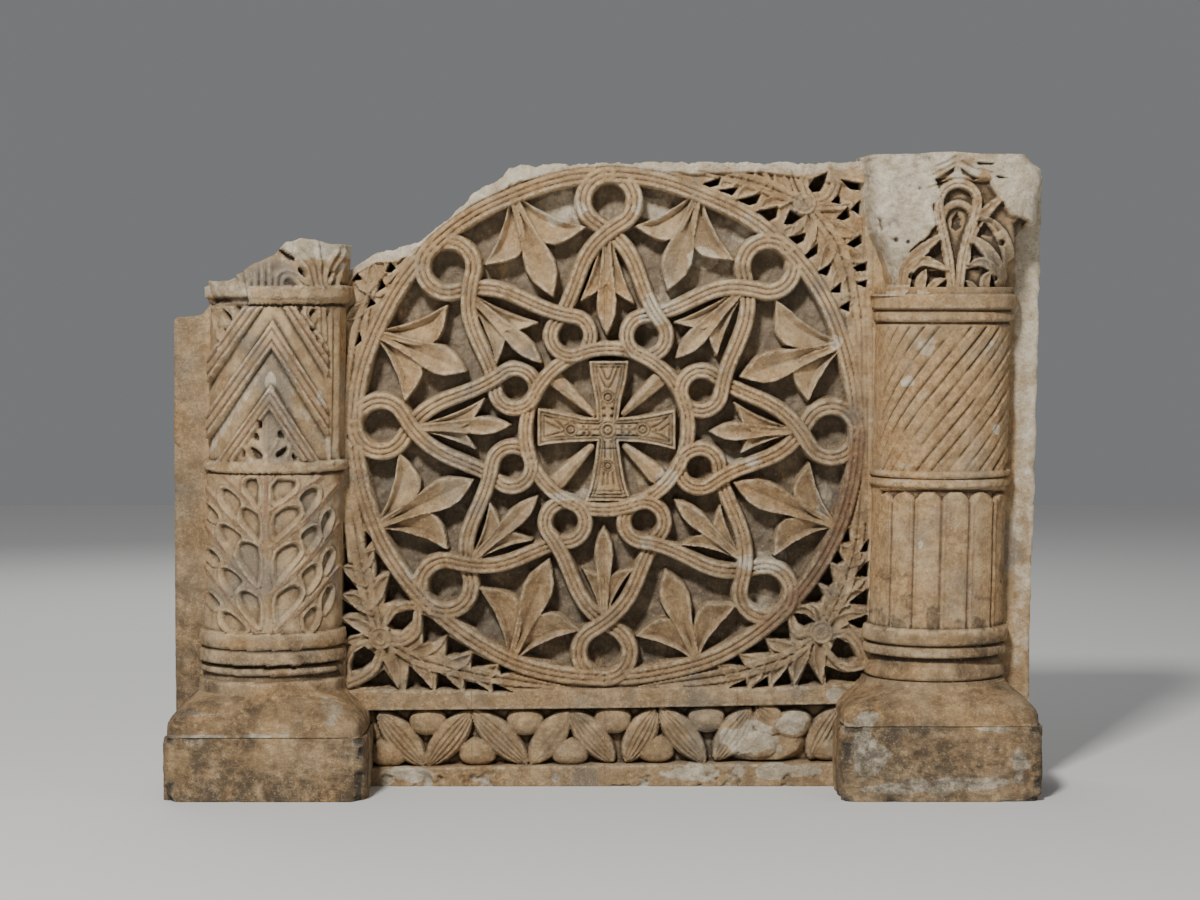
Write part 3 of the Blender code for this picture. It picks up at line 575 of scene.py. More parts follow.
@dataclass
class Roundel:
    """The ring, the inner ring, the knots that tie them, the leaves and the cross."""

    centre: Point = (607.5, 431.0)
    ring: float = 251.0
    inner_ring: float = 80.7
    loop: float = 25.6
    inner_loop: float = 20.0
    knots: int = 8
    under: float = 9.0
    outer_shift: tuple[Point, ...] = ((1.8, -5.6), (1.5, -6.4), (-1.6, 0.5), (-1.0, 1.5), (-3.5, -4.4),
                                      (-3.0, -5.6), (-1.5, -6.4), (0.6, -5.6))
    inner_shift: tuple[Point, ...] = ((0.3, -3.0), (1.5, -2.5), (-1.0, -1.5), (-1.4, -3.0),
                                      (-4.5, -2.0), (-3.5, -3.5), (1.0, -5.5), (2.6, -2.5))

    def polar(self, angle: Array | float, radius: Array | float) -> Array:
        """A point from its angle, clockwise from the top, and its distance from the centre."""
        return np.stack([self.centre[0] + radius * np.sin(angle),
                         self.centre[1] - radius * np.cos(angle)], axis=-1)

    def settle(self, u: Array, v: Array) -> tuple[Array, Array]:
        """Moves places back to the true circle that the mason's knots stray from.

        Each knot pulls the places round it by its own shift, with a weight that falls as a bell
        curve with the distance.

        Args:
            u: Places of the stone.
            v: Places of the stone.

        Returns:
            The places in the regular figure.
        """
        total = 0.12
        move_u, move_v = 0.0, 0.0
        step = 2 * math.pi / self.knots
        for k in range(self.knots):
            for (du, dv), radius, turn in ((self.outer_shift[k], self.ring - self.loop, k),
                                           (self.inner_shift[k], self.inner_ring + self.inner_loop,
                                            k + 0.5)):
                p = self.polar(turn * step, radius)
                weight = np.exp(-((u - p[0])**2 + (v - p[1])**2) / (2 * 38.0**2))
                move_u = move_u + weight * du
                move_v = move_v + weight * dv
                total = total + weight
        return u - move_u / total, v - move_v / total

    def arc(self, centre: Array, radius: float, start: float, end: float, steps: int = 28) -> Array:
        """Points of a circle, angles clockwise from the top."""
        a = np.linspace(start, end, steps)
        return np.stack([centre[0] + radius * np.sin(a), centre[1] - radius * np.cos(a)], axis=1)

    def strand(self, knot: int, sign: int) -> Array:
        """One strand of a knot, from the ring at the knot's top to the inner ring.

        It follows the loop on the ring for 150 degrees, swings across the knot's axis on a
        cubic curve and follows the inner loop round to the inner ring.

        Args:
            knot: Which knot, clockwise from the top.
            sign: 1 for the strand that goes down the clockwise side, -1 for its mirror image.

        Returns:
            The strand's points.
        """
        step = 2 * math.pi / self.knots
        axis = knot * step
        outer = self.polar(axis, self.ring - self.loop)
        inner_angle = axis - sign * step / 2
        inner = self.polar(inner_angle, self.inner_ring + self.inner_loop)
        end = axis + sign * math.radians(150)
        entry = inner_angle - sign * math.radians(30)
        first = self.arc(outer, self.loop, axis, end)
        last = self.arc(inner, self.inner_loop, entry, inner_angle - sign * math.pi)
        way_out = sign * np.array([math.cos(end), math.sin(end)])
        way_in = -sign * np.array([math.cos(entry), math.sin(entry)])
        reach = np.hypot(*(last[0] - first[-1]))
        t = np.linspace(0, 1, 30)[:, None]
        a, d = first[-1], last[0]
        b, c = a + way_out * reach * 0.5, d - way_in * reach * 0.42
        swing = (1 - t)**3 * a + 3 * (1 - t)**2 * t * b + 3 * (1 - t) * t**2 * c + t**3 * d
        return np.vstack([first, swing[1:], last[1:]])

    def dips(self, line: Array, crossings: list[tuple[float, bool]], run: float = 15.0) -> Array:
        """How far a strand sinks along its way.

        Args:
            line: The strand.
            crossings: Arc length of each crossing and whether the strand goes under there.
            run: Length over which it sinks or rises.

        Returns:
            One depth for each point.
        """
        where = lengths_of(line)
        sunk = np.zeros(len(line))
        for place, goes_under in crossings:
            bell = np.clip(1 - (np.abs(where - place) - 7) / run, 0, 1)
            amount = self.under if goes_under else -1.0
            sunk = sunk + amount * smooth(bell)
        return sunk

    def widths(self, line: Array) -> Array:
        """The bands narrow towards the middle of the roundel."""
        radius = np.hypot(line[:, 0] - self.centre[0], line[:, 1] - self.centre[1])
        return np.interp(radius, [80, 125, 200, 251], [6.6, 7.0, 7.7, 8.1])

    def lace(self, relief: Relief) -> None:
        """Ties the whole interlace: ring arcs, knots and inner ring, over and under in turn.

        Args:
            relief: What is cut.
        """
        step = 2 * math.pi / self.knots
        for k in range(self.knots):
            for radius, turn, groove in ((self.ring, k, 4.6), (self.inner_ring, k - 0.5, 3.8)):
                line = self.arc(np.array(self.centre), radius, turn * step, (turn + 1) * step, 40)
                length = lengths_of(line)[-1]
                relief.band(line, self.dips(line, [(0.0, False), (length, True)]), self.widths(line),
                            groove=groove)
            for sign in (1, -1):
                line = self.strand(k, sign)
                axis = self.polar(k * step, 300.0)
                side, _ = along(line[:, 0], line[:, 1], np.array([self.centre, axis]))
                length = lengths_of(line)
                flips = np.nonzero(np.diff(np.sign(side[4:-4])) != 0)[0] + 4
                axis_cross = length[flips[0]] if len(flips) else length[-1] * 0.4
                ray = self.polar((k - sign * 0.5) * step, 300.0)
                side, _ = along(line[:, 0], line[:, 1], np.array([self.centre, ray]))
                flips = np.nonzero(np.diff(np.sign(side[30:-3])) != 0)[0] + 30
                loop_cross = length[flips[0]] if len(flips) else length[-1] * 0.8
                first = sign > 0
                crossings = [(0.0, first), (axis_cross, not first), (loop_cross, first),
                             (length[-1], not first)]
                relief.band(line, self.dips(line, crossings), self.widths(line), groove=4.2)

    def leaf(self, relief: Relief, angle: float, marks: tuple[Point, ...], large: bool) -> None:
        """One three-lobed leaf in its own frame: (clockwise, outward) millimetres.

        Args:
            relief: What it is carved on.
            angle: Angle of the leaf's axis.
            marks: Root, tip, left tip and right tip.
            large: Whether it is one of the large leaves.
        """
        out = np.array([math.sin(angle), -math.cos(angle)])
        turn = np.array([math.cos(angle), math.sin(angle)])

        def place(mark: Point) -> Point:
            """A leaf's own mark, in millimetres across and out, as a place of the drawing."""
            p = np.array(self.centre) + (turn * mark[0] + out * mark[1]) * MM / UNIT
            return float(p[0]), float(p[1])

        root, tip, one, other = marks
        span = root[1] - tip[1]
        slim = math.hypot(one[0] - root[0], one[1] - root[1]) / (100.0 if large else 88.0)
        scale = slim * (1.0 if large else 0.60)
        for mark, sign in ((one, -1), (other, 1)):
            reach = mark[0] - root[0]
            fall = root[1] - mark[1]
            start = (root[0] + sign * 4.0 * scale, root[1])
            bend = (root[0] + reach * 0.26, root[1] - fall * 0.42)
            curl = (root[0] + reach * 0.58, mark[1] + fall * (0.20 if large else 0.24))
            line = line_through([place(start), place(bend), place(curl), place(mark)], 36)
            outer = [(0, 2.5), (0.25, 4.6), (0.5, 6.4), (0.75, 5.4), (0.92, 2.2), (1, 0.2)]
            inner = [(0, 3.0), (0.2, 9.0), (0.4, 16.0), (0.55, 20.0), (0.66, 18.0), (0.8, 10.0), (0.92, 4.0),
                     (1, 0.2)]
            outer = [(t, w * scale) for t, w in outer]
            inner = [(t, w * scale) for t, w in inner]
            left, right = (inner, outer) if sign < 0 else (outer, inner)
            relief.lobe(line, left, right, crest=-5.5, valley=11.0 * scale + 3)
        line = line_through([place(root), place((root[0] * 0.6 + tip[0] * 0.4, root[1] - span * 0.4)),
                             place(tip)], 36)
        if large:
            belly = [(0, 4.0), (0.2, 6.0), (0.4, 9.0), (0.55, 12.8), (0.68, 14.5), (0.8, 12.5), (0.92, 6.0),
                     (1, 0.4)]
        else:
            belly = [(0, 3.0), (0.3, 4.6), (0.5, 7.0), (0.68, 8.8), (0.82, 7.6), (0.94, 3.4), (1, 0.2)]
        belly = [(t, w * (0.75 + 0.25 * slim)) for t, w in belly]
        relief.lobe(line, belly, belly, crest=-2.0, valley=13.5 if large else 9.0)

    def carve(self, relief: Relief) -> None:
        """Cuts the whole roundel into the relief.

        Args:
            relief: What is cut.
        """
        step = 2 * math.pi / self.knots
        for number, marks in enumerate(LARGE_LEAVES):
            self.leaf(relief, (number + 0.5) * step, marks, True)
        for number, marks in enumerate(SMALL_LEAVES):
            self.leaf(relief, number * step, marks, False)
        self.cross(relief)
        u, v = relief.u, relief.v
        relief.u, relief.v = self.settle(u, v)
        self.lace(relief)
        relief.u, relief.v = u, v

    def cross(self, relief: Relief) -> None:
        """The cross: four flared arms with incised lines, circles and squares, and four leaves.

        Args:
            relief: What is cut.
        """
        for near, far in WEDGES:
            line = line_through([near[:2], far[:2]], 20)
            at = relief.near(line, 14)
            side, where = along(relief.u[at], relief.v[at], line)
            t = where / lengths_of(line)[-1]
            half = near[2] + (far[2] - near[2]) * t
            end = np.maximum(-where, where - lengths_of(line)[-1])
            away = np.maximum(np.abs(side) - half, end)
            height = -7.0 - 7.0 * np.abs(side / half - 0.2)
            relief.raise_to(at, height - WALL_FALL * smooth(away / 2.6))
        top = -6.5
        at = relief.near(np.array(CROSS, float), 4)
        away = inside(relief.u[at], relief.v[at], CROSS)
        lines = np.zeros(away.shape)
        for place, deep in ((2.6, 4.2), (5.4, 3.4)):
            lines = np.maximum(lines, deep * np.clip(1.25 - np.abs(away + place) / 1.25, 0, 1))
        lifted = relief.raise_to(at, top - lines - WALL_FALL * smooth((away - 0.2) / 2.4))
        # Painted shade in the incised lines along the cross's edges.
        soil = relief.stained[Stain.SOIL]
        soil[at] = np.where(lifted & (away < 0), 0.28 * lines, soil[at])
        for v in (490.5, 493.6, 496.7):
            relief.cut([(596 - (v - 488), v), (620 + (v - 488), v)], 4.4, 1.0)
        for points in CROSS_CUTS:
            relief.cut(points, 4.6, 1.1)
        for u, v, radius in CROSS_CIRCLES:
            away = np.hypot(relief.u - u, relief.v - v)
            at = np.nonzero(away < radius + 1.5)
            r = away[at] / radius
            rings = 4.6 * np.clip(1.3 - np.abs(r - 0.60) / 0.20, 0, 1) + 4.0 * np.clip(1.2 - r / 0.22, 0, 1)
            rings = rings + 4.0 * np.clip(1.1 - np.abs(r - 1.08) / 0.16, 0, 1)
            relief.height[at] = top + 0.5 - rings
            # Painted shade in the incised circles.
            soil[at] = 0.25 * rings
        for u, v in CROSS_DOTS:
            relief.hole(u, v, 1.9, 5.5)


LARGE_LEAVES = (
    ((-10, 363), (2, 224), (-76, 290), (73, 299)), ((12, 354), (0, 209), (-82, 298), (70, 286)), ((-1, 350),
    (-2, 198), (-69, 289), (73, 293)), ((7, 349), (-1, 220), (-77, 304), (74, 291)), ((2, 353), (7, 205),
    (-74, 282), (84, 281)), ((2, 353), (10, 207), (-69, 280), (87, 290)), ((4, 357), (3, 223), (-71, 288),
    (80, 284)), ((4, 361), (2, 212), (-70, 291), (84, 285))
)
SMALL_LEAVES = (
    ((-1, 289), (-1, 142), (-38, 190), (38, 186)), ((-7, 278), (-5, 147), (-43, 181), (34, 190)),
    ((-1, 265), (0, 150), (-41, 185), (30, 195)), ((-6, 262), (1, 141), (-39, 193), (40, 193)), ((5, 267),
    (5, 139), (-37, 199), (36, 199)), ((7, 265), (5, 140), (-34, 189), (48, 193)), ((6, 272), (10, 141),
    (-25, 192), (48, 178)), ((-1, 273), (3, 139), (-43, 184), (40, 183))
)
CROSS = [
    (590, 361), (628, 361), (625.5, 380), (620.5, 399), (618, 418), (640, 416.5), (658, 413.5),
    (675, 409.5), (675, 448.5), (658, 444), (640, 441), (618, 440), (620.5, 460), (624, 480), (627, 490),
    (631, 500), (586, 500), (590, 490), (593, 478), (596, 460), (598, 440), (570, 441), (552, 442.5),
    (538.5, 445), (538.5, 408), (552, 411), (570, 414.5), (584, 417.5), (597.5, 418), (596.5, 400),
    (592.5, 380)
]
WEDGES = (
    ((594, 414, 2.6), (556, 379, 7.6)), ((624, 413, 2.6), (658, 380, 7.6)), ((591, 446, 3.4),
    (558, 481, 8.0)), ((626, 446, 3.6), (656, 474, 9.0))
)


# The sprays in the corners of the field


@dataclass
class Spray:
    """A boss with long leaves, whose edges are cut into pointed teeth with black holes between."""

    boss: Point
    leaves: tuple[tuple[tuple[Point, ...], tuple[Point, ...], float], ...]
    holes: tuple[tuple[Point, ...], ...]
    curls: tuple[tuple[Point, ...], ...] = ()
    boss_radius: float = 11.0

    def tooth(self, relief: Relief, spine: Array, tip: Point) -> None:
        """One tooth: a lobe that leaves the spine at a slant and ends at tip.

        Args:
            relief: What is cut.
            spine: The middle line of the leaf.
            tip: Where the tooth ends.
        """
        away = np.hypot(spine[:, 0] - tip[0], spine[:, 1] - tip[1])
        near = int(np.argmin(away))
        back = lengths_of(spine)
        start = int(np.argmin(np.abs(back - max(back[near] - away[near] * 1.1, 0))))
        middle = (spine[start] * 0.45 + np.array(tip) * 0.55 + (spine[near] - spine[start]) * 0.10)
        line = line_through([tuple(spine[start]), tuple(middle), tip], 16)
        width = [(0, 3.4), (0.35, 6.6), (0.65, 5.6), (1, 0.3)]
        relief.lobe(line, width, width, crest=-1.5, valley=9.0, wall=1.0)

    def carve(self, relief: Relief) -> None:
        """Cuts the whole spray, then sinks the holes between its teeth.

        Args:
            relief: What is cut.
        """
        for points, teeth, half in self.leaves:
            spine = line_through([self.boss, *points], 50)
            for tip in teeth:
                self.tooth(relief, spine, tip)
            width = [(0, half * 0.40), (0.3, half * 0.95), (0.7, half * 0.72), (1, 0.8)]
            relief.lobe(spine, width, width, crest=-2.0, valley=4.5, wall=1.0, round_off=1.5)
            relief.cut(spine[::6], 3.2, 1.2)
        for points in self.curls:
            line = line_through(points, 24)
            relief.band(line, np.zeros(len(line)), 4.8, cords=2, groove=2.4, crest=-1.5)
        for outline in self.holes:
            at = relief.near(np.array(outline, float), 4)
            away = inside(relief.u[at], relief.v[at], outline)
            sunk = 44.0 * smooth((0.7 - away) / 1.6)
            relief.height[at] = np.maximum(relief.height[at] - sunk, GROUND)
        u, v = self.boss
        around = np.hypot(relief.u - u, relief.v - v)
        at = np.nonzero(around < self.boss_radius + 4)
        r = around[at] / self.boss_radius
        height = 0.5 - 3.4 * np.abs(np.mod(r * 2.0 + 0.5, 1.0) * 2 - 1)**2.2 * (r > 0.22)
        relief.raise_to(at, height - WALL_FALL * smooth((around[at] - self.boss_radius) / 2.6))
        relief.hole(u, v, 1.4, 3.0)


SPRAYS = (
    Spray((804, 203), (
        (((770, 188), (740, 179), (695, 171)),
         ((718, 189), (735, 199), (755, 211), (735, 167), (755, 165), (775, 167)), 8),
        (((829, 232), (841, 256), (847, 280), (853, 320), (860, 390)),
         ((860, 235), (865, 262), (865, 280), (790, 237), (805, 254), (818, 270), (831, 288), (842, 305)), 9),
        (((793, 216), (784, 229)), (), 6), (((795, 185), (790, 170)), (), 5)),
          (((703, 184), (720, 178), (718, 185), (710, 187)), ((720, 190), (737, 188), (732, 195)),
           ((738, 200), (760, 194), (756, 203), (749, 205)), ((757, 211), (777, 207), (776, 217), (769, 221)),
           ((784, 224), (790, 210), (801, 217), (793, 224)), ((789, 237), (805, 233), (804, 240), (797, 244)),
           ((805, 255), (817, 244), (817, 253), (808, 258)), ((818, 272), (830, 264), (827, 275)),
           ((831, 291), (840, 283), (840, 292)), ((840, 307), (849, 301), (849, 311)),
           ((808, 187), (814, 178), (826, 173), (824, 183), (820, 191), (812, 192)),
           ((840, 180), (862, 184), (862, 190), (850, 189)), ((831, 202), (838, 195), (840, 204)),
           ((837, 218), (847, 207), (849, 217), (843, 220)), ((851, 209), (859, 201), (863, 209), (860, 215)),
           ((847, 244), (860, 235), (861, 243), (854, 247)), ((853, 267), (866, 262), (866, 270), (857, 271)),
           ((857, 283), (866, 280), (866, 287))),
          (((806, 194), (803, 180), (814, 171), (828, 171), (835, 182), (828, 198), (815, 203)),
           ((812, 207), (830, 206), (848, 205)))),
    Spray((822, 632), (
        (((836, 606), (848, 575), (857, 540), (863, 480)),
         ((818, 583), (831, 562), (841, 544), (849, 526), (868, 552), (868, 577), (868, 590), (868, 613)), 9),
        (((790, 656), (755, 668), (710, 678), (640, 687)),
         ((765, 638), (740, 654), (718, 664), (823, 684), (795, 685), (771, 687), (748, 688)), 8),
        (((800, 640), (789, 628), (790, 614)), (), 6), (((818, 612), (806, 604), (796, 608)), (), 5)),
          (((842, 541), (849, 528), (851, 542)), ((832, 560), (838, 550), (844, 561), (838, 564)),
           ((820, 581), (829, 563), (835, 583), (830, 587)), ((802, 603), (818, 584), (824, 596), (822, 603)),
           ((795, 614), (806, 615), (815, 622), (806, 628), (800, 624)), ((767, 638), (788, 620), (792, 641)),
           ((738, 653), (765, 638), (771, 654), (755, 653)), ((718, 664), (738, 655), (745, 667), (730, 664)),
           ((730, 688), (746, 681), (748, 688)), ((753, 688), (768, 678), (770, 688)),
           ((774, 687), (788, 669), (794, 687)), ((799, 686), (809, 664), (823, 686)),
           ((826, 667), (845, 674), (867, 671), (863, 683), (828, 683)),
           ((832, 650), (838, 638), (850, 645), (857, 658), (850, 663), (840, 660)),
           ((849, 622), (868, 615), (869, 629), (860, 629)), ((850, 603), (869, 588), (869, 607)),
           ((856, 576), (869, 561), (869, 578)), ((861, 551), (869, 539), (869, 552))),
          (((830, 636), (848, 634), (859, 646), (865, 662)), ((828, 645), (836, 659), (850, 668),
                                                              (866, 665)))),
    Spray((380, 638), (
        (((370, 606), (362, 570), (356, 535), (349, 460)),
         ((341, 565), (341, 593), (341, 617), (341, 642), (374, 549), (390, 573)), 9),
        (((412, 657), (445, 667), (485, 676), (570, 689)),
         ((447, 635), (472, 653), (498, 665), (398, 689), (432, 689), (462, 690), (491, 691)), 8)),
          (((344, 548), (353, 561), (344, 564)), ((342, 571), (357, 590), (342, 592)),
           ((341, 599), (358, 612), (342, 615)), ((341, 622), (360, 633), (344, 639)),
           ((365, 531), (372, 540), (365, 548)), ((375, 552), (388, 570), (375, 577)),
           ((390, 574), (410, 601), (384, 603), (386, 588)),
           ((387, 626), (396, 614), (413, 610), (411, 622), (401, 632), (393, 630)),
           ((422, 615), (432, 620), (448, 634), (435, 642), (423, 644)),
           ((447, 636), (469, 650), (459, 656), (446, 656)), ((472, 654), (494, 664), (480, 668), (471, 668)),
           ((499, 664), (515, 671), (501, 675)), ((409, 667), (420, 677), (431, 690), (406, 690)),
           ((437, 673), (448, 680), (457, 690), (436, 690)), ((465, 682), (478, 685), (488, 691), (465, 691)),
           ((493, 685), (512, 692), (493, 692)), ((359, 687), (373, 679), (383, 671), (397, 690)),
           ((350, 666), (354, 653), (364, 647), (374, 655), (370, 663), (360, 671), (351, 671))),
          (((386, 626), (392, 612), (404, 605), (416, 606)), ((388, 642), (404, 641), (416, 630), (418, 606)),
           ((370, 644), (356, 648), (346, 662), (346, 678)), ((380, 652), (374, 668), (362, 678),
                                                              (348, 684)))),
    Spray((372, 292), (
        (((384, 278), (398, 264), (420, 246)), ((354, 272), (372, 258), (392, 250)), 8),
        (((362, 320), (354, 360), (347, 420)), ((392, 285), (345, 318)), 8)),
          (((353, 280), (358, 273), (362, 279)), ((387, 271), (391, 262), (396, 268), (392, 272)),
           ((378, 291), (382, 279), (386, 286)), ((368, 307), (371, 298), (376, 303)),
           ((356, 345), (360, 332), (362, 340))),
          (), 4.0),
)


# The border along the foot


@dataclass
class Border:
    """Two fillets with a zigzag of ribbed buds and half balls between them."""

    buds: tuple[tuple[Point, Point, bool], ...] = (
        ((377, 713), (424, 768), True), ((471, 712), (426, 768), True), ((472, 712), (527, 766), True),
        ((569, 712), (530, 766), False), ((570, 712), (614, 764), True), ((656, 710), (626, 764), True),
        ((660, 709), (706, 764), True), ((752, 709), (716, 762), True), ((757, 708), (781, 733), True),
        ((841, 708), (811, 761), True))
    top_balls: tuple[Point, ...] = ((427, 722), (525, 722), (613, 720), (707, 719), (795, 723))
    low_balls: tuple[Point, ...] = ((387, 757), (477, 756), (570, 756), (656, 753), (758, 748), (829, 751))

    def carve(self, relief: Relief) -> None:
        """Sinks the frieze and cuts its buds and balls.

        Args:
            relief: What is cut.
        """
        frieze = [(330, 711.5), (607, 709), (880, 704), (880, 763), (607, 765.5), (330, 769)]
        at = relief.near(np.array(frieze, float), 4)
        away = inside(relief.u[at], relief.v[at], frieze)
        sunk = FRIEZE_GROUND * smooth((0.9 - away) / 2.2)
        relief.height[at] = np.minimum(relief.height[at], sunk)
        for (u, v), top in [(p, True) for p in self.top_balls] + [(p, False) for p in self.low_balls]:
            du = (relief.u - u) / (18.0 if top else 18.5)
            dv = (relief.v - v) / 15.0
            dv = np.where(dv < 0, dv * (1.30 if top else 0.95), dv * (1.0 if top else 1.35))
            far = (np.abs(du)**2.3 + np.abs(dv)**2.3)**(1 / 2.3)
            at = np.nonzero(far < 1.3)
            dome = 15.0 * np.sqrt(np.clip(1 - far[at]**2, 0, 1)) - 16.5
            relief.raise_to(at, dome - 40 * smooth((far[at] - 1.0) / 0.14))
        for start, end, ribbed in self.buds:
            line = line_through([start, end], 20)
            at = relief.near(line, 18)
            side, where = along(relief.u[at], relief.v[at], line)
            t = np.clip(where / lengths_of(line)[-1], 0, 1)
            half = 14.2 * np.sin(math.pi * t)**0.66 + 0.6
            s = side / half
            leaning = -1 if end[0] > start[0] else 1
            height = -1.5 - 6.5 * np.abs(s)**2.0 - 7.0 * (1 - np.sin(math.pi * t)**0.6)
            if ribbed:
                place = s * leaning
                ribs = 5.0 * np.abs(np.mod(place * 3.0 + 0.2, 1.0) * 2 - 1)**2.0
                height = height - ribs * smooth((place + 0.60) / 0.1)
            else:
                height = height - 1.2 * np.abs(np.mod(s * 2.0, 1.0) * 2 - 1)**2
            relief.raise_to(at, height - 40 * smooth((np.abs(side) - half) / 2.2))
        relief.patch(795, 722, 17, 15, 1.0, 3)
        relief.patch(752, 740, 34, 20, 0.7, 4)
        worn = smooth((1.1 - np.hypot((relief.u - 765) / 44, (relief.v - 742) / 24)) / 0.3)
        rough = -6.0 + 3.0 * noise(relief.u, relief.v, relief.u * 0, 14, 17)
        at = np.nonzero((worn > 0) & (relief.v > 712) & (relief.v < 762))
        relief.height[at] = relief.height[at] * (1 - 0.75 * worn[at]) + rough[at] * 0.75 * worn[at]


# Meshes


def build_mesh(name: str, points: Array, faces: list[Array], stains: Array) -> bpy.types.Object:
    """Puts arrays of points and faces into one smooth mesh object.

    Args:
        name: Piece's name.
        points: An (n, 3) array in metres.
        faces: Arrays of faces, each with its own number of corners.
        stains: An (n, 5) array: pale, red, warm, hollow, and dark grime with painted shade, each from 0 to 1.

    Returns:
        The object.
    """
    counts = np.concatenate([np.full(len(f), f.shape[1]) for f in faces])
    corners = np.concatenate([f.reshape(-1) for f in faces])
    mesh = bpy.data.meshes.new(name)
    mesh.vertices.add(len(points))
    mesh.vertices.foreach_set("co", np.ascontiguousarray(points, np.float32).reshape(-1))
    mesh.loops.add(len(corners))
    mesh.loops.foreach_set("vertex_index", corners.astype(np.int32))
    mesh.polygons.add(len(counts))
    starts = np.concatenate([[0], np.cumsum(counts)[:-1]])
    mesh.polygons.foreach_set("loop_start", starts.astype(np.int32))
    mesh.polygons.foreach_set("loop_total", counts.astype(np.int32))
    mesh.polygons.foreach_set("use_smooth", np.concatenate([np.full(len(f), f.shape[1] <= 4) for f in faces]))
    mesh.update(calc_edges=True)
    mesh.validate()
    stained = mesh.attributes.new("stains", "FLOAT_COLOR", "POINT")
    stained.data.foreach_set("color", np.ascontiguousarray(stains[:, :4], np.float32).reshape(-1))
    # The fifth channel: dark grime, with painted shade in holes, incisions and grooves.
    soil_and_shade_layer = mesh.attributes.new("soil", "FLOAT", "POINT")
    soil_and_shade_layer.data.foreach_set("value", np.ascontiguousarray(stains[:, 4], np.float32))
    item = bpy.data.objects.new(name, mesh)
    bpy.context.scene.collection.objects.link(item)
    return item


def outward(item: bpy.types.Object) -> bpy.types.Object:
    """Turns a closed mesh's faces outwards.

    Args:
        item: The mesh's object.

    Returns:
        The same object.
    """
    shape = bmesh.new()
    shape.from_mesh(item.data)
    if shape.calc_volume(signed=True) < 0:
        bmesh.ops.reverse_faces(shape, faces=shape.faces)
        shape.to_mesh(item.data)
    shape.free()
    return item


def closed_rings(name: str, points: Array, stains: Array) -> bpy.types.Object:
    """Rings of points as a closed surface, with a flat cap at either end.

    Args:
        name: Piece's name.
        points: One row to each ring, three coordinates to each point.
        stains: The same rows, five stains to each point.

    Returns:
        The object.
    """
    rows, columns = points.shape[:2]
    r, c = np.meshgrid(np.arange(rows - 1), np.arange(columns), indexing="ij")
    right = (c + 1) % columns
    faces = np.stack([r * columns + c, r * columns + right, (r + 1) * columns + right,
                      (r + 1) * columns + c], axis=-1).reshape(-1, 4)
    ring = np.arange(columns)
    caps = [ring[None, ::-1], (ring + (rows - 1) * columns)[None, :]]
    return outward(build_mesh(name, points.reshape(-1, 3), [faces, *caps], stains.reshape(-1, 5)))


def squareness(angle: Array, power: Array) -> Array:
    """What divides a ring's radius: the power-th root of |cos|^power + |sin|^power."""
    return (np.abs(np.cos(angle))**power + np.abs(np.sin(angle))**power)**(1 / power)


# The slab's broken top edge
BROKEN_TOP = (
    (170, 322), (176, 318), (205, 313), (215, 300), (232, 296), (262, 282), (300, 262), (340, 262),
    (352, 270), (370, 258), (380, 252), (400, 248), (415, 244), (430, 233), (445, 221), (465, 204.5),
    (475, 192), (497, 182), (510, 168), (520, 165.5), (640, 163), (830, 163), (840, 162), (865, 161),
    (890, 160), (930, 158), (1000, 159), (1025, 161), (1035, 165), (1041, 171), (1046, 180)
)

# Outline of what is sunk to the ground
FIELD = [
    (341, 691), (607, 689), (866, 684), (868, 420), (866, 300), (862, 186), (842, 184), (760, 172),
    (690, 174.5), (660, 166), (600, 152), (500, 152), (440, 212), (412, 244), (400, 262), (372, 262),
    (356, 274), (342, 300)
]

# Thin reeds along the field's two sides
SIDE_REEDS = (
    ((351, 470), (353, 505), (362, 540)), ((346, 440), (345, 500), (350, 560)), ((344, 330), (342, 420),
    (344, 520)), ((352, 352), (346, 400), (345, 440)), ((864, 310), (865, 400), (866, 500)), ((859, 320),
    (861, 420), (866, 520)), ((853, 320), (857, 400), (860, 470))
)

# Pale places of the slab: middle, half width, half height and strength
PALE_PLACES = (
    (652, 311, 15, 16, 0.9), (762, 562, 24, 11, 1.0), (567, 495, 26, 7, 0.7), (841, 696, 18, 9, 1.0),
    (408, 775, 30, 7, 0.8), (690, 774, 34, 9, 0.8), (785, 772, 52, 9, 0.9), (705, 258, 18, 10, 0.7),
    (836, 342, 8, 10, 0.8), (672, 292, 16, 22, 0.45), (745, 455, 22, 12, 0.5), (585, 232, 22, 10, 0.4),
    (700, 300, 30, 16, 0.35), (750, 230, 22, 16, 0.5), (412, 570, 9, 9, 0.6), (560, 207, 26, 18, 0.8),
    (655, 208, 24, 13, 0.8), (764, 603, 16, 8, 0.8), (825, 500, 10, 16, 0.5), (650, 543, 12, 9, 0.6),
    (668, 476, 14, 12, 0.5)
)


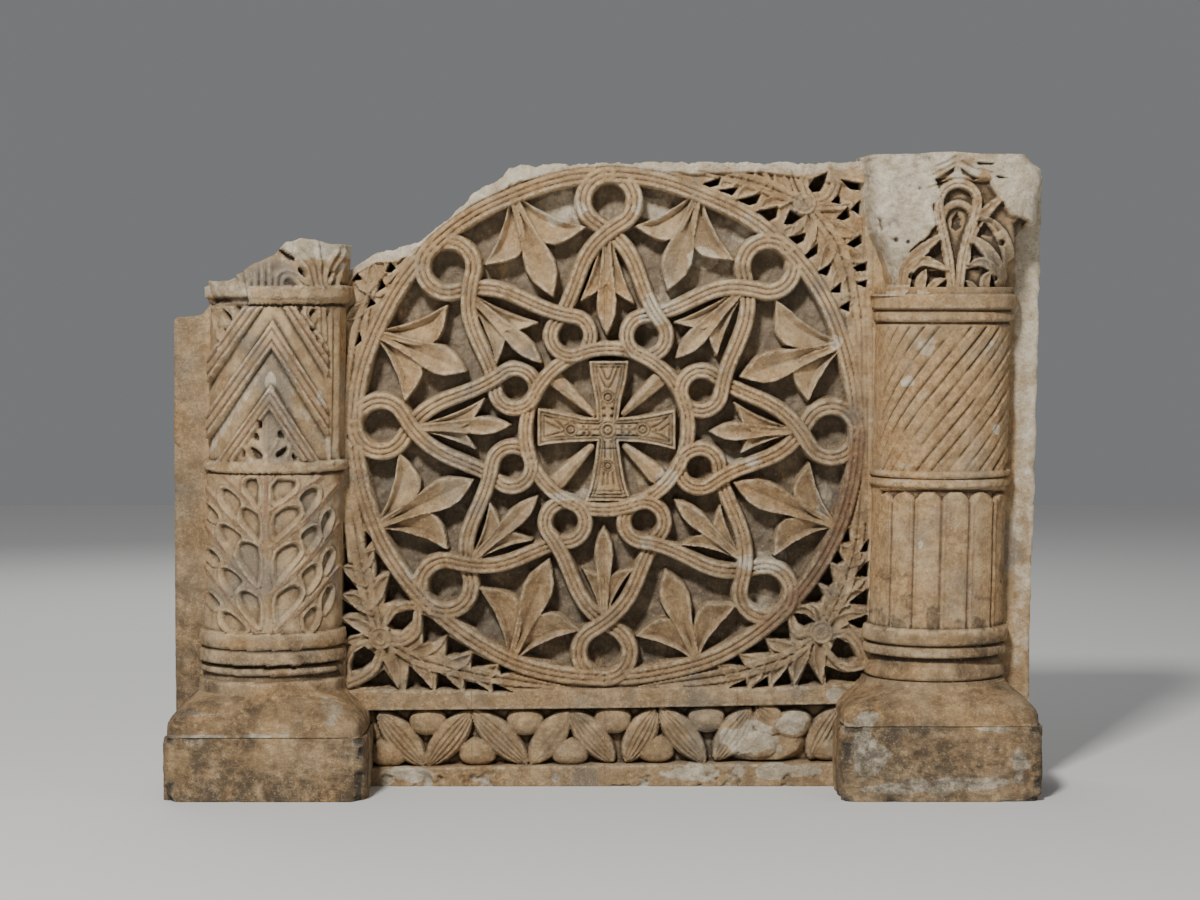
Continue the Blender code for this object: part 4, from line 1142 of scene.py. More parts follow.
@dataclass
class Slab:
    """The slab with everything that is carved in it, built in upright strips."""

    rows: int = 560
    left: float = 174.8
    right: float = 1040.2
    fine_left: float = 338.0
    fine_right: float = 872.0
    fine_columns: int = 485
    strips: int = 4

    def top_line(self, u: Array) -> Array:
        """The v of the broken top edge at each u.

        Args:
            u: Places across.

        Returns:
            One v to each u.
        """
        line = np.interp(u, *zip(*BROKEN_TOP))
        rough = 1.6 * noise(u, u * 0, u * 0, 11, 3) + 1.0 * noise(u, u * 0 + 3, u * 0, 3.5, 5, 2)
        return line + np.maximum(rough, -1.0)

    def carve(self, u: Array, v: Array) -> Relief:
        """The whole relief of the slab over a grid of places.

        Args:
            u: Places across.
            v: Places down.

        Returns:
            The relief.
        """
        relief = Relief(u, v)
        away = inside(u, v, FIELD)
        flat = u * 0
        tooled = 3.4 * noise(u, v, flat, 24, 11) + 2.4 * noise(u, v * 0.6, flat, 6, 12, 2)
        floor = GROUND + 3.0 + tooled
        ring = np.hypot(u - ROUNDEL.centre[0], v - ROUNDEL.centre[1]) - ROUNDEL.ring
        leafy = smooth((ring - 2.0) / 2.0)
        mass = -8.0 + 1.6 * noise(u, v, flat, 14, 13) - 2.4 * np.abs(noise(u * 1.2, v, flat, 22, 14, 2))
        sunk = floor * (1 - leafy) + mass * leafy
        relief.height = sunk * smooth((0.8 - away) / 2.4)
        for spray in SPRAYS:
            spray.carve(relief)
        for points in SIDE_REEDS:
            line = line_through(points, 24)
            relief.band(line, np.zeros(len(line)), 2.3, cords=1, groove=2.0, crest=-2.0)
        ROUNDEL.carve(relief)
        Border().carve(relief)
        self.wear(relief)
        return relief

    def wear(self, relief: Relief) -> None:
        """Breaks, chips and pale places of the slab, painted shade in deep holes, painted light and shade on
        the ground, darker stretches, then an overall roughness.

        Args:
            relief: What is cut.
        """
        u, v = relief.u, relief.v
        flat = u * 0
        edge = v - self.top_line(u)
        ragged = edge + 3.5 * noise(u, v, flat, 20, 21)
        su, sv = ROUNDEL.settle(u, v)
        outside = np.hypot(su - ROUNDEL.centre[0], sv - ROUNDEL.centre[1]) - ROUNDEL.ring - 9.0
        reach = np.interp(u, [345, 420, 500, 620, 700, 860], [7, 16, 19, 14, 8, 7])
        broken = smooth((reach - ragged) / 4.0) * smooth((outside + 1.0) / 3.0) * (v < 300)
        slope = (np.interp(edge, [0, 20], [9.0, 0.0]) + 2.2 * noise(u, v, flat, 12, 22)
                 + 1.6 * np.abs(noise(u, v, flat, 5, 23, 2)))
        relief.height = relief.height * (1 - broken) - broken * np.maximum(slope, 0.5)
        relief.tint(Stain.PALE, broken)
        for place in PALE_PLACES:
            relief.patch(*place, seed=int(place[0]))
        ring = np.abs(np.hypot(su - ROUNDEL.centre[0], sv - ROUNDEL.centre[1]) - ROUNDEL.ring)
        # Darker on the ring's band in the lower half, more so to the right.
        lower = np.clip(smooth((v - 330) / 160) * (0.55 + 0.35 * smooth((u - 700) / 120)), 0, 1)
        relief.tint(Stain.SOIL, 0.75 * smooth((11 - ring) / 2) * lower)
        # Painted shade in the deep holes outside the ring.
        holes = smooth((-30 - relief.height) / 8) * smooth((ring - 11) / 2) * (v < 692)
        holes = holes * (np.hypot(su - ROUNDEL.centre[0], sv - ROUNDEL.centre[1]) > ROUNDEL.ring)
        relief.tint(Stain.SOIL, holes)
        # The ground is painted paler towards the top, painted light, and darker towards the foot, grime and
        # painted shade.
        floor = smooth((GROUND + 14 - relief.height) / 8) * (1 - holes)
        relief.tint(Stain.PALE, floor * np.interp(v, [170, 330, 520, 700], [0.42, 0.20, 0.0, 0.0]))
        relief.tint(Stain.SOIL, floor * np.interp(v, [170, 330, 520, 700], [0.12, 0.40, 0.65, 0.75]))
        # Darker towards the bottom, and towards the lower right.
        relief.tint(Stain.SOIL, 0.45 * smooth((v - 430) / 160) * (u > 345) * (u < 868))
        relief.tint(Stain.SOIL, 0.50 * smooth((u - 690) / 120) * smooth((v - 330) / 150) * (u < 868))
        relief.tint(Stain.RED, 0.7 * smooth((9 - ring) / 2) * smooth((u - 720) / 90) * smooth((v - 380) / 90))
        crown = smooth((181 - v) / 8) * (u > 640) * (u < 868)
        relief.tint(Stain.PALE, 0.45 * crown)
        chips = noise(u, v, flat, 13, 31)
        foot = smooth((v - 770) / 9) * smooth((chips - 0.10) / 0.5) * (u > 340) * (u < 880)
        relief.height = relief.height - 7.0 * foot
        relief.tint(Stain.PALE, 0.8 * foot)
        side = smooth((u - 1008) / 8)
        relief.height = relief.height - side * (2.0 * np.abs(noise(u, v, flat, 24, 33))
                                                + 1.2 * np.abs(noise(u, v, flat, 7, 34, 2)))
        relief.tint(Stain.PALE, side * np.interp(v, [160, 420, 560, 700], [0.62, 0.6, 0.45, 0.35]))
        # Darker along the slab's left edge, most towards the foot.
        relief.tint(Stain.SOIL, smooth((208 - u) / 4) * np.interp(v, [320, 560, 700], [0.45, 0.6, 0.95]))
        relief.height = relief.height - 0.8 * np.abs(noise(u, v, flat, 4.5, 41, 2)) - 0.4
        grey = smooth((GROUND + 14 - relief.height) / 10)
        warm = np.clip(0.55 + 0.6 * noise(u, v, flat, 60, 43), 0, 1)
        relief.stained[Stain.WARM] = warm * (1 - 0.95 * grey)

    def edge(self, v: Array, side: Side) -> Array:
        """The u of the slab's side edge at each height.

        Args:
            v: Heights on the drawing.
            side: Which edge.

        Returns:
            One u to each v.
        """
        if side is Side.RIGHT:
            marks = ((160, 1036), (166, 1039), (176, 1039.5), (240, 1038.5), (300, 1037.5), (500, 1034),
                     (640, 1030), (787, 1030))
            rough = -np.abs(2.2 * noise(v, v * 0, v * 0, 22, 51)) + 0.4
        else:
            marks = ((315, 176), (440, 175), (447, 182), (457, 181), (462, 175), (787, 175))
            rough = np.abs(1.4 * noise(v, v * 0, v * 0, 26, 52))
        return np.interp(v, *zip(*marks)) + rough

    def build(self) -> list[bpy.types.Object]:
        """Builds all strips, each a closed body.

        Returns:
            The pieces.
        """
        pieces = [self.side(side) for side in Side]
        columns = np.linspace(self.fine_left, self.fine_right, self.fine_columns)
        share = np.linspace(0, 1, self.rows)[:, None]
        v = FLOOR + (self.top_line(columns)[None, :] - FLOOR) * share
        u = np.broadcast_to(columns, v.shape).copy()
        relief = self.carve(u, v)
        hollow = relief.hollow(((2, 4.0, 0.55), (4, 14.0, 0.3)))
        # The hollow drives painted shade and highlights; on the deep ground it is pulled most of the way to
        # level, which keeps them off the floor.
        floor = smooth((GROUND + 18 - relief.height) / 10)
        stains = relief.stains(hollow + (0.52 - hollow) * 0.75 * floor)
        cuts = [round((self.fine_columns - 1) * i / self.strips) for i in range(self.strips + 1)]
        names = ["field_outer_left", "field_inner_left", "field_inner_right", "field_outer_right"]
        for name, start, stop in zip(names, cuts, cuts[1:]):
            part = slice(start, stop + 1)
            pieces.append(self.strip(name, u[:, part], v[:, part], relief.height[:, part], stains[:, part]))
        return pieces

    def side(self, side: Side) -> bpy.types.Object:
        """The plain part of the slab on one side, from its broken edge to the carved field.

        Args:
            side: Which side.

        Returns:
            The piece.
        """
        right = side is Side.RIGHT
        share = np.linspace(0, 1, 52 if right else 40)
        near = self.fine_right if right else self.fine_left
        far = self.right if right else self.left
        columns = near + (far - near) * share if right else far + (near - far) * share
        v = FLOOR + (self.top_line(columns)[None, :] - FLOOR) * np.linspace(0, 1, 320)[:, None]
        edge = self.edge(v[:, -1 if right else 0], side)[:, None]
        u = near + (edge - near) * share[None, :] if right else edge + (near - edge) * share[None, :]
        relief = self.carve(u, v)
        stains = relief.stains(relief.hollow(((2, 6.0, 0.6), (6, 14.0, 0.4))))
        return self.strip(side.value, u, v, relief.height, stains)

    def strip(self, name: str, u: Array, v: Array, height: Array, stains: Array) -> bpy.types.Object:
        """One closed strip: its front is the relief, then the broken top, the back and the foot.

        Args:
            name: Piece's name.
            u: Places across, rows from the foot up.
            v: Places down.
            height: The relief.
            stains: Its five stains.

        Returns:
            The object.
        """
        x = (u - MIDDLE) * UNIT
        z = (FLOOR - v) * UNIT
        y = -height * MM
        front = np.stack([x, y, z], axis=-1)
        steps = 16
        depth = np.linspace(0, 1, steps)[1:, None]
        top_x, top_z, top_y = x[-1][None, :], z[-1][None, :], y[-1][None, :]
        across = top_y + (SLAB_BACK - top_y) * depth
        lumps = noise(top_x + across * 0, across, top_z + across * 0, 0.05, 61)
        fine = noise(top_x + across * 0, across, top_z + across * 0, 0.012, 62)
        fall = (0.010 * np.abs(lumps) + 0.003 * np.abs(fine)) * smooth(depth * 6) + 0.003 * depth
        crown = np.stack([top_x + across * 0, across, top_z - fall], axis=-1)
        back_share = np.linspace(0, 1, 12)[1:, None]
        back_z = crown[-1, :, 2][None, :] * (1 - back_share)
        back_x = top_x + (x[0][None, :] - top_x) * back_share
        rough = 0.0015 * np.abs(noise(back_x, back_z, back_z * 0, 0.06, 63)) * (back_share < 1)
        back = np.stack([back_x, SLAB_BACK - rough, back_z], axis=-1)
        foot_share = np.linspace(0, 1, 4)[1:-1, None]
        foot_y = SLAB_BACK + (y[0][None, :] - SLAB_BACK) * foot_share
        foot = np.stack([x[0][None, :] + foot_y * 0, foot_y, foot_y * 0], axis=-1)
        points = np.concatenate([front, crown, back, foot], axis=0)
        rows, columns = points.shape[:2]
        marks = np.zeros((rows, columns, 5))
        marks[:len(front)] = stains
        marks[len(front):len(front) + len(crown)] = (0.85, 0.0, 0.3, 0.45, 0.0)
        marks[len(front) + len(crown):] = (0.25, 0.0, 0.3, 0.5, 0.35)
        index = np.arange(rows * columns).reshape(rows, columns)
        loop = np.vstack([index, index[:1]])
        sides = np.stack([loop[:-1, :-1], loop[:-1, 1:], loop[1:, 1:], loop[1:, :-1]], axis=-1).reshape(-1, 4)
        caps = [index[:, 0][None, ::1], index[:, -1][None, ::-1]]
        item = build_mesh(name, points.reshape(-1, 3), [sides, *caps], marks.reshape(-1, 5))
        return outward(item)


ROUNDEL = Roundel()


# Columns


@dataclass(frozen=True)
class Moulding:
    """One stretch of a turned profile, seen on the drawing from v_top to v_foot."""

    v_top: float
    v_foot: float
    top: float
    foot: float
    bulge: float = 0.0
    warm: float = 0.0


def profile(z: Array, mouldings: tuple[Moulding, ...], depth: float = -0.1) -> Array:
    """How far the turned profile stands out from the shaft, in millimetres.

    Within a moulding the value runs straight from top to foot, plus bulge times the 0.35th
    power of the sine of the way through it, which gives a flattened round.

    Args:
        z: Heights.
        mouldings: The profile.
        depth: Depth of the surface that the drawing shows.

    Returns:
        One value to each height.
    """
    out = np.zeros(z.shape)
    for part in mouldings:
        high, low = level(part.v_top, depth), level(part.v_foot, depth)
        t = (high - z) / (high - low)
        within = (t >= 0) & (t <= 1)
        value = part.top + (part.foot - part.top) * t
        value = value + part.bulge * np.sin(math.pi * np.clip(t, 0, 1))**0.35
        out = np.where(within, value, out)
    return out


@dataclass
class Shaft:
    """A leaning round shaft; subclasses give its profile, its carving and its top."""

    name: str
    centre: float
    radius: float
    lean: float = 0.021
    foot: float = 0.120
    rows: int = 268
    front_columns: int = 172
    back_columns: int = 18
    seed: int = 1
    mouldings: tuple[Moulding, ...] = ()

    def carve(self, relief: Relief, z: Array) -> None:
        """Cuts the shaft's own ornament."""

    def top(self, x: Array, y: Array) -> Array:
        """Height of the shaft's top at each place."""
        return np.full(np.broadcast(x, y).shape, 0.74)

    def build(self) -> bpy.types.Object:
        """The shaft as one closed surface: round rows of points, capped with shrinking rings.

        Returns:
            The piece.
        """
        front = np.radians(np.linspace(-98, 98, self.front_columns))
        back = np.radians(np.linspace(98, 262, self.back_columns + 2)[1:-1])
        angle = np.concatenate([front, back])[None, :]
        share = np.linspace(0, 1, self.rows)[:, None]
        rim_x = self.centre + self.lean * 0.75 + self.radius * np.sin(angle)
        rim_y = -self.radius * np.cos(angle)
        z = self.foot + (self.top(rim_x, rim_y) - self.foot) * share
        x = self.centre + self.lean * z + self.radius * np.sin(angle)
        y = -self.radius * np.cos(angle) + 0 * z
        u, v = seen_at(x, y, z)
        relief = Relief(u, v, profile(z, self.mouldings))
        before = relief.height.copy()
        self.carve(relief, z)
        facing = smooth((np.cos(angle) + 0.05) / 0.25)
        relief.height = before + (relief.height - before) * facing
        relief.height = relief.height - 0.6 * np.abs(noise(x, y, z, 0.007, self.seed + 9, 2))
        relief.height = relief.height - 0.5 * noise(x, y, z, 0.03, self.seed, 2)
        skin = 0.85 if self.centre > 0 else 0.60
        patchy = 0.6 * noise(x, y, z, 0.09, self.seed + 4, 2)
        relief.stained[Stain.WARM] = np.clip(skin + patchy + self.banding(v), 0, 1)
        reach = self.radius + relief.height * MM
        x = self.centre + self.lean * z + reach * np.sin(angle)
        y = np.minimum(-reach * np.cos(angle), SLAB_BACK - 0.006)
        grime = 0.50 + 0.5 * noise(x, y, z, 0.03, self.seed + 7)
        relief.tint(Stain.SOIL, smooth((v - 634) / 4) * grime)
        stains = relief.stains(relief.hollow(((2, 3.0, 0.6), (5, 9.0, 0.35))))
        rings = [np.stack([x, y, z + 0 * x], axis=-1)]
        marks = [stains]
        axis_x = self.centre + self.lean * z[-1].mean()
        for shrink in (0.97, 0.9, 0.78, 0.62, 0.44, 0.25, 0.08):
            rx = axis_x + (x[-1] - axis_x) * shrink
            ry = y[-1] * shrink
            lumps = np.abs(noise(rx, ry, rx * 0, 0.035, self.seed + 3))
            rz = self.top(rx, ry) - 0.010 * lumps * (1 - shrink**4)
            rings.append(np.stack([rx, ry, rz], axis=-1)[None])
            marks.append(np.tile(np.array([0.8, 0, 0.3, 0.45, 0.1]), (1, rx.size, 1)))
        return closed_rings(self.name, np.concatenate(rings), np.concatenate(marks))

    def banding(self, v: Array) -> Array:
        """Extra warmth of the rings, which kept more of their brown skin.

        Args:
            v: Places down.

        Returns:
            What it adds to the warm stain.
        """
        warm = np.zeros(v.shape)
        for part in self.mouldings:
            if part.warm:
                warm = warm + part.warm * smooth((v - part.v_top) / 2) * smooth((part.v_foot - v) / 2)
        return warm


# Broken top of the left shaft
LEFT_TOP = (
    (200, 284), (203, 282), (225, 283), (232, 281), (240, 275), (250, 268), (262, 263), (275, 257),
    (281, 252), (288, 243), (303, 240), (318, 242), (330, 245), (345, 246), (349, 257), (352, 268)
)

# Ribs of the palmettes
PALMETTE = (
    ((267, 462), (267, 440), (267, 412)), ((266, 456), (257, 444), (253, 430)), ((269, 456), (276, 445),
    (280, 436)), ((266, 458), (250, 459), (244, 446)), ((270, 458), (285, 461), (291, 446)), ((247, 462),
    (262, 461), (288, 462))
)

# Thin ridges under the left shaft's neck
NECK_RIDGES = (
    ((231, 307), (234, 318)), ((212, 315), (217, 335), (222, 350)), ((219, 325), (232, 323)), ((308, 308),
    (305, 318)), ((306, 323), (314, 325), (320, 318)), ((322, 309), (322, 345)), ((308, 333), (314, 340),
    (322, 352)), ((327, 309), (329, 340))
)

# Ribs that rise from the frond's stem
FROND_RIBS = (
    ((262, 515), (242, 495), (224, 476)), ((262, 548), (230, 517), (202, 482)), ((262, 596), (228, 556),
    (200, 516)), ((258, 634), (228, 598), (200, 560)), ((271, 512), (298, 494), (326, 474)), ((271, 548),
    (306, 520), (338, 484)), ((272, 594), (306, 562), (340, 522)), ((276, 632), (310, 600), (340, 566))
)

# Ribs of the left capital's remains
LEFT_CAPITAL_RIBS = (
    ((318, 286), (314, 268), (305, 256), (298, 251)), ((312, 286), (308, 270), (302, 262)), ((322, 286),
    (320, 262), (318, 246)), ((330, 284), (336, 268), (345, 252)), ((326, 285), (329, 266), (338, 250)),
    ((338, 286), (343, 272), (346, 262)), ((277, 286), (279, 275), (288, 271), (300, 275), (308, 284)),
    ((283, 286), (285, 279), (292, 277), (302, 286)), ((242, 286), (240, 276)), ((249, 286), (247, 272)),
    ((257, 286), (257, 268)), ((264, 286), (264, 267)), ((271, 286), (271, 266))
)

# Hollows between the left capital's ribs
LEFT_CAPITAL_PITS = (
    ((280, 251), (286, 252), (297, 258), (298, 262), (292, 262), (286, 257)), ((300, 269), (305, 270),
    (309, 277), (306, 278), (301, 274)), ((329, 275), (332, 271), (335, 273), (331, 278))
)


class LeftShaft(Shaft):
    """Chevrons over a register of fronds, under a broken capital."""

    def top(self, x: Array, y: Array) -> Array:
        """The broken top follows the capital's remains.

        Args:
            x: World x.
            y: World y.

        Returns:
            One height to each place.
        """
        u = MIDDLE + x * TOP_NEARER / UNIT
        rough = 1.5 * noise(u, y / UNIT, u * 0, 9, 71, 2)
        return level(np.interp(u, *zip(*LEFT_TOP)) + rough)

    def carve(self, relief: Relief, z: Array) -> None:
        """Cuts chevrons, palmettes and fronds where the drawing shows them.

        Args:
            relief: What is cut.
            z: Heights of the places.
        """
        u, v = relief.u, relief.v
        axis = 270 + (420 - v) * 0.035
        fall = v - 1.46 * np.abs(u - axis)
        register = smooth((v - 307) / 1.5) * smooth((462 - v) / 1.5)
        inner = smooth((331 - u) / 3)
        for apex, foot in ((264, 292), (321, 349), (385, 410)):
            t = (fall - apex) / (foot - apex)
            span = foot - apex
            deep = np.minimum(fall - apex, foot - fall)
            raised = 6.5 * smooth(deep / 1.8) * register * inner
            relief.height = relief.height + raised
            for share in (0.30, 0.70):
                line = np.abs(t - share) * span
                score = np.clip(1 - line / 2.0, 0, 1) * (raised > 0.5)
                relief.height = relief.height - 4.0 * score
                # Painted shade in the scored lines.
                relief.tint(Stain.SOIL, 0.6 * score)
            relief.tint(Stain.RED, 0.9 * (raised > 1) * np.clip(1 - np.abs(t - 0.72) * 7, 0, 1))
            relief.tint(Stain.RED, 0.7 * (raised > 1) * np.clip(1 - np.abs(t - 0.28) * 8, 0, 1))
        for low, high in ((349, 385), (292, 321)):
            t = (fall - low) / (high - low)
            trough = (t > 0) & (t < 1) & (v > 307) & (v < 462)
            relief.height = relief.height - np.where(trough, 2.0 + 1.2 * np.cos(t * 2 * math.pi), 0) * inner
            relief.tint(Stain.PALE, np.where(trough & (low > 300), 0.45 * smooth((0.8 - t) / 0.5), 0))
        relief.patch(271, 383, 7, 12, 0.8, 5)
        relief.patch(322, 396, 6, 9, 0.7, 6)
        relief.height = relief.height - 1.5 * register
        for outline in LEFT_HOLES:
            relief.pit(rounded(outline), 11.0, 1.1)
        for points in PALMETTE:
            relief.ridge(points, 3.0, 2.8)
        for points in NECK_RIDGES:
            relief.ridge(points, 2.6, 2.2)
        relief.ridge([(341, 306), (340, 400), (339, 462)], 3.5, 4)
        relief.ridge([(334, 320), (333, 400), (331, 462)], 2.5, 2.4)
        self.fronds(relief)
        self.capital(relief)

    def fronds(self, relief: Relief) -> None:
        """A stem with rising ribs, and between them hollow pods with raised rims.

        Args:
            relief: What is cut.
        """
        u, v = relief.u, relief.v
        register = smooth((v - 475.5) / 1.5) * smooth((635 - v) / 1.5)
        before = relief.height.copy()
        edge = np.full(u.shape, 99.0)
        tilt = np.zeros(u.shape)
        for outline in PODS:
            at = relief.near(np.array(outline, float), 9)
            if at is None:
                continue
            away = inside(u[at], v[at], rounded(outline)) - 0.9
            closer = away < edge[at]
            low, high = np.min(outline, axis=0), np.max(outline, axis=0)
            share = np.clip((v[at] - low[1]) / (high[1] - low[1]), 0, 1)
            tilt[at] = np.where(closer, share, tilt[at])
            edge[at] = np.minimum(edge[at], away)
        ribs = np.zeros(u.shape)
        for points in FROND_RIBS:
            line = line_through(points, 24)
            at = relief.near(line, 4)
            side, _ = along(u[at], v[at], line)
            roll = 4.2 * np.clip(1 - np.abs(side) / 2.8, 0, 1) - 3.0 * np.clip(1 - np.abs(side) / 0.9, 0, 1)
            ribs[at] = np.maximum(ribs[at], roll * smooth((edge[at] + 1.0) / 1.5))
            relief.tint(Stain.RED, 0.7 * (np.abs(side) < 1.0) * (edge[at] > 1), at)
        rim = 2.4 * np.clip(1 - np.abs(edge - 0.8) / 1.5, 0, 1)
        sunk = (6.5 - 2.5 * tilt) * smooth(-edge / (2.2 + 2.5 * tilt))
        seam = 1.6 * np.clip(1 - np.abs(edge - 2.9) / 1.0, 0, 1)
        relief.height = before + (np.maximum(ribs, rim) - sunk - seam) * register
        # Painted shade in the seam round each pod and in the pods' upper parts, and painted light on their
        # lower parts.
        relief.tint(Stain.SOIL, 0.5 * register * np.clip(1 - np.abs(edge - 2.9) / 1.0, 0, 1))
        relief.tint(Stain.SOIL, 0.35 * register * (1 - tilt) * smooth(-edge / 2))
        relief.tint(Stain.PALE, 0.38 * register * tilt * smooth(-edge / 3))
        band = np.abs(u - (266.5 - (v - 476) * 0.004))
        relief.height += 3.2 * smooth((5.6 - band) / 1.6) * register
        relief.height -= 2.0 * np.clip(1 - np.abs(band - 3.6) / 1.1, 0, 1) * register
        relief.tint(Stain.RED, 0.6 * register * (band < 2.4) * (v < 560))

    def capital(self, relief: Relief) -> None:
        """Remains of the capital's leaves over the neck ring.

        Args:
            relief: What is cut.
        """
        u, v = relief.u, relief.v
        zone = smooth((287 - v) / 3)
        rough = noise(u, v, u * 0, 15, 81)
        relief.height = relief.height - zone * (1.0 + 3.0 * np.abs(rough))
        left = smooth((251 - u + 2 * rough) / 4) * smooth((305 - v) / 3)
        lumps = 5.0 * noise(u, v, u * 0, 22, 82, 2) + 1.5 * noise(u, v, u * 0, 6, 83, 2)
        relief.height = relief.height * (1 - left) + left * (-4.0 + lumps)
        under = smooth((v - 296) / 4) * left * smooth((306 - v) / 3)
        relief.height = relief.height - 6.0 * under
        relief.tint(Stain.PALE, 0.8 * zone * smooth((262 - v + 14 * rough) / 12))
        relief.tint(Stain.PALE, 0.45 * left * (1 - under))
        # Painted shade in the groove under the broken lump.
        relief.tint(Stain.SOIL, 0.9 * under)
        for points in LEFT_CAPITAL_RIBS:
            relief.ridge(points, 4.4, 3.0)
        for outline in LEFT_CAPITAL_PITS:
            relief.pit(outline, 14.0, 1.4)


# Pale places of the right shaft
RIGHT_PALE_PLACES = (
    (927, 347, 10, 12, 0.6), (906, 383, 8, 9, 0.6), (915, 395, 12, 6, 0.35), (996, 430, 5, 7, 0.7),
    (955, 338, 12, 5, 0.35), (985, 345, 7, 7, 0.4), (905, 465, 12, 4, 0.45), (920, 545, 3, 5, 0.8),
    (900, 480, 12, 3, 0.5), (962, 480, 12, 3, 0.5)
)


class RightShaft(Shaft):
    """Spiral flutes over reeds, under a ring that carries the capital."""

    def top(self, x: Array, y: Array) -> Array:
        """The shaft ends inside the capital."""
        return np.full(np.broadcast(x, y).shape, float(level(288)))

    def carve(self, relief: Relief, z: Array) -> None:
        """Cuts the spiral register and the reeds from the angle round the shaft.

        Args:
            relief: What is cut.
            z: Heights of the places.
        """
        u, v = relief.u, relief.v
        axis = self.centre + self.lean * z
        across = np.clip((u - MIDDLE) * UNIT / SHAFT_NEARER - axis, -self.radius, self.radius)
        angle = np.arcsin(across / self.radius)
        turn = (400 - v) / 153 * math.radians(107)
        phase = np.mod((angle - turn) * 26 / (2 * math.pi) + 0.30, 1.0) * 2 - 1
        spiral = smooth((v - 326) / 2) * smooth((472 - v) / 2)
        p = np.abs(phase)
        spiral = spiral * smooth((0.985 - np.abs(across) / self.radius) / 0.03)
        score = np.clip(1 - np.abs(p - 1.0) / 0.32, 0, 1)
        ridge = np.clip(1 - np.abs(phase + 0.52) / 0.20, 0, 1)
        flute = 1.2 * (1 - p**2) + 1.8 * ridge - 4.2 * score
        worn = np.clip(0.8 + 0.9 * noise(u, v, u * 0, 26, 303), 0.3, 1)
        relief.height = relief.height + flute * spiral * worn
        # Painted shade in the spiral flutes' scored lines.
        relief.tint(Stain.SOIL, 0.55 * score**2 * spiral * worn)
        relief.tint(Stain.PALE, 0.30 * ridge * spiral)
        pitch = math.radians(24.4)
        first = math.asin((920 - 938) * UNIT / SHAFT_NEARER / self.radius)
        phase = np.mod((angle - first) / pitch + 0.5, 1.0) * 2 - 1
        p = np.abs(phase)
        top = 492 + 9 * p**2.6
        lower = smooth((v - 489.5) / 1.5) * smooth((631 - v) / 1.5)
        lower = lower * smooth((0.985 - np.abs(across) / self.radius) / 0.03)
        body = smooth((v - top) / 1.6)
        groove = 3.4 * np.clip(1 - np.abs(p - 1.0) / 0.15, 0, 1)
        panel_top = 499 + 10 * (p / 0.72)**2.6
        panel = smooth((v - panel_top) / 1.6) * smooth((0.72 - p) / 0.10)
        height = (2.0 - groove - 1.2 * panel - 0.8 * p**2) * body - 6.0 * (1 - body)
        relief.height = relief.height + lower * height
        relief.height = relief.height - lower * 0.8 * np.abs(noise(u, v, u * 0, 16, 305))
        relief.tint(Stain.RED, 0.35 * lower * smooth((p - 0.7) / 0.3))
        seam = 0.4 * np.clip(1 - np.abs(p - 0.70) / 0.07, 0, 1)
        # Painted shade in the grooves between the reeds and along the panels' edges.
        relief.tint(Stain.SOIL, lower * body * (0.75 * smooth((p - 0.88) / 0.1) + seam))
        dark = noise(u, v, u * 0, 12, 306)
        relief.tint(Stain.SOIL, 0.8 * smooth((dark - 0.25) / 0.4) * smooth((v - 550) / 30)
                                 * smooth((640 - v) / 6))
        for place in RIGHT_PALE_PLACES:
            relief.patch(*place, seed=int(place[0]))


CAPITAL_LEAVES = (
    (((900, 293), (901, 276), (914, 258), (944, 233)), 6.0, 5.0), (((904, 290), (909, 270), (924, 262),
    (949, 272)), 5.0, 4.0), (((889, 293), (884, 270), (873, 246), (862, 220)), 6.0, 5.0), (((895, 293),
    (890, 268), (884, 240)), 4.5, 4.0), (((919, 293), (920, 282), (925, 271)), 5.0, 4.0), (((926, 293),
    (934, 284), (944, 280)), 3.5, 3.0), (((1007, 294), (1009, 266), (1003, 242), (992, 226),
    (977, 216)), 6.5, 6.0), (((1000, 290), (996, 268), (984, 250), (966, 235)), 6.5, 6.0), (((964, 262),
    (968, 238), (984, 214), (1008, 192)), 5.5, 5.0), (((999, 288), (994, 272), (980, 263),
    (962, 270)), 4.5, 4.0), (((984, 293), (984, 282), (989, 272)), 4.5, 3.5), (((976, 293), (970, 286),
    (965, 282)), 3.0, 3.0), (((1001, 268), (1003, 282), (998, 293)), 4.0, 3.0)
)
LEFT_HOLES = (
    ((258, 419), (262, 422), (262, 430), (257, 428)), ((252, 441), (255, 431), (260, 441)), ((249, 447),
    (257, 450), (264, 459), (256, 461), (251, 455)), ((275, 456), (281, 450), (289, 447), (288, 453),
    (280, 459)), ((240, 456), (245, 449), (244, 459)), ((294, 452), (300, 460), (294, 460)), ((278, 439),
    (280, 429), (287, 439)), ((220, 312), (223, 309), (232, 319), (230, 324), (224, 320)), ((232, 307),
    (243, 307), (240, 315)), ((220, 329), (229, 329), (225, 335)), ((216, 340), (222, 341), (219, 345)),
    ((299, 308), (307, 307), (305, 313), (302, 315)), ((311, 315), (316, 309), (320, 311), (316, 318)),
    ((310, 328), (318, 329), (314, 334)), ((316, 339), (321, 338), (319, 342)), ((330, 311), (333, 309),
    (334, 315), (331, 317))
)
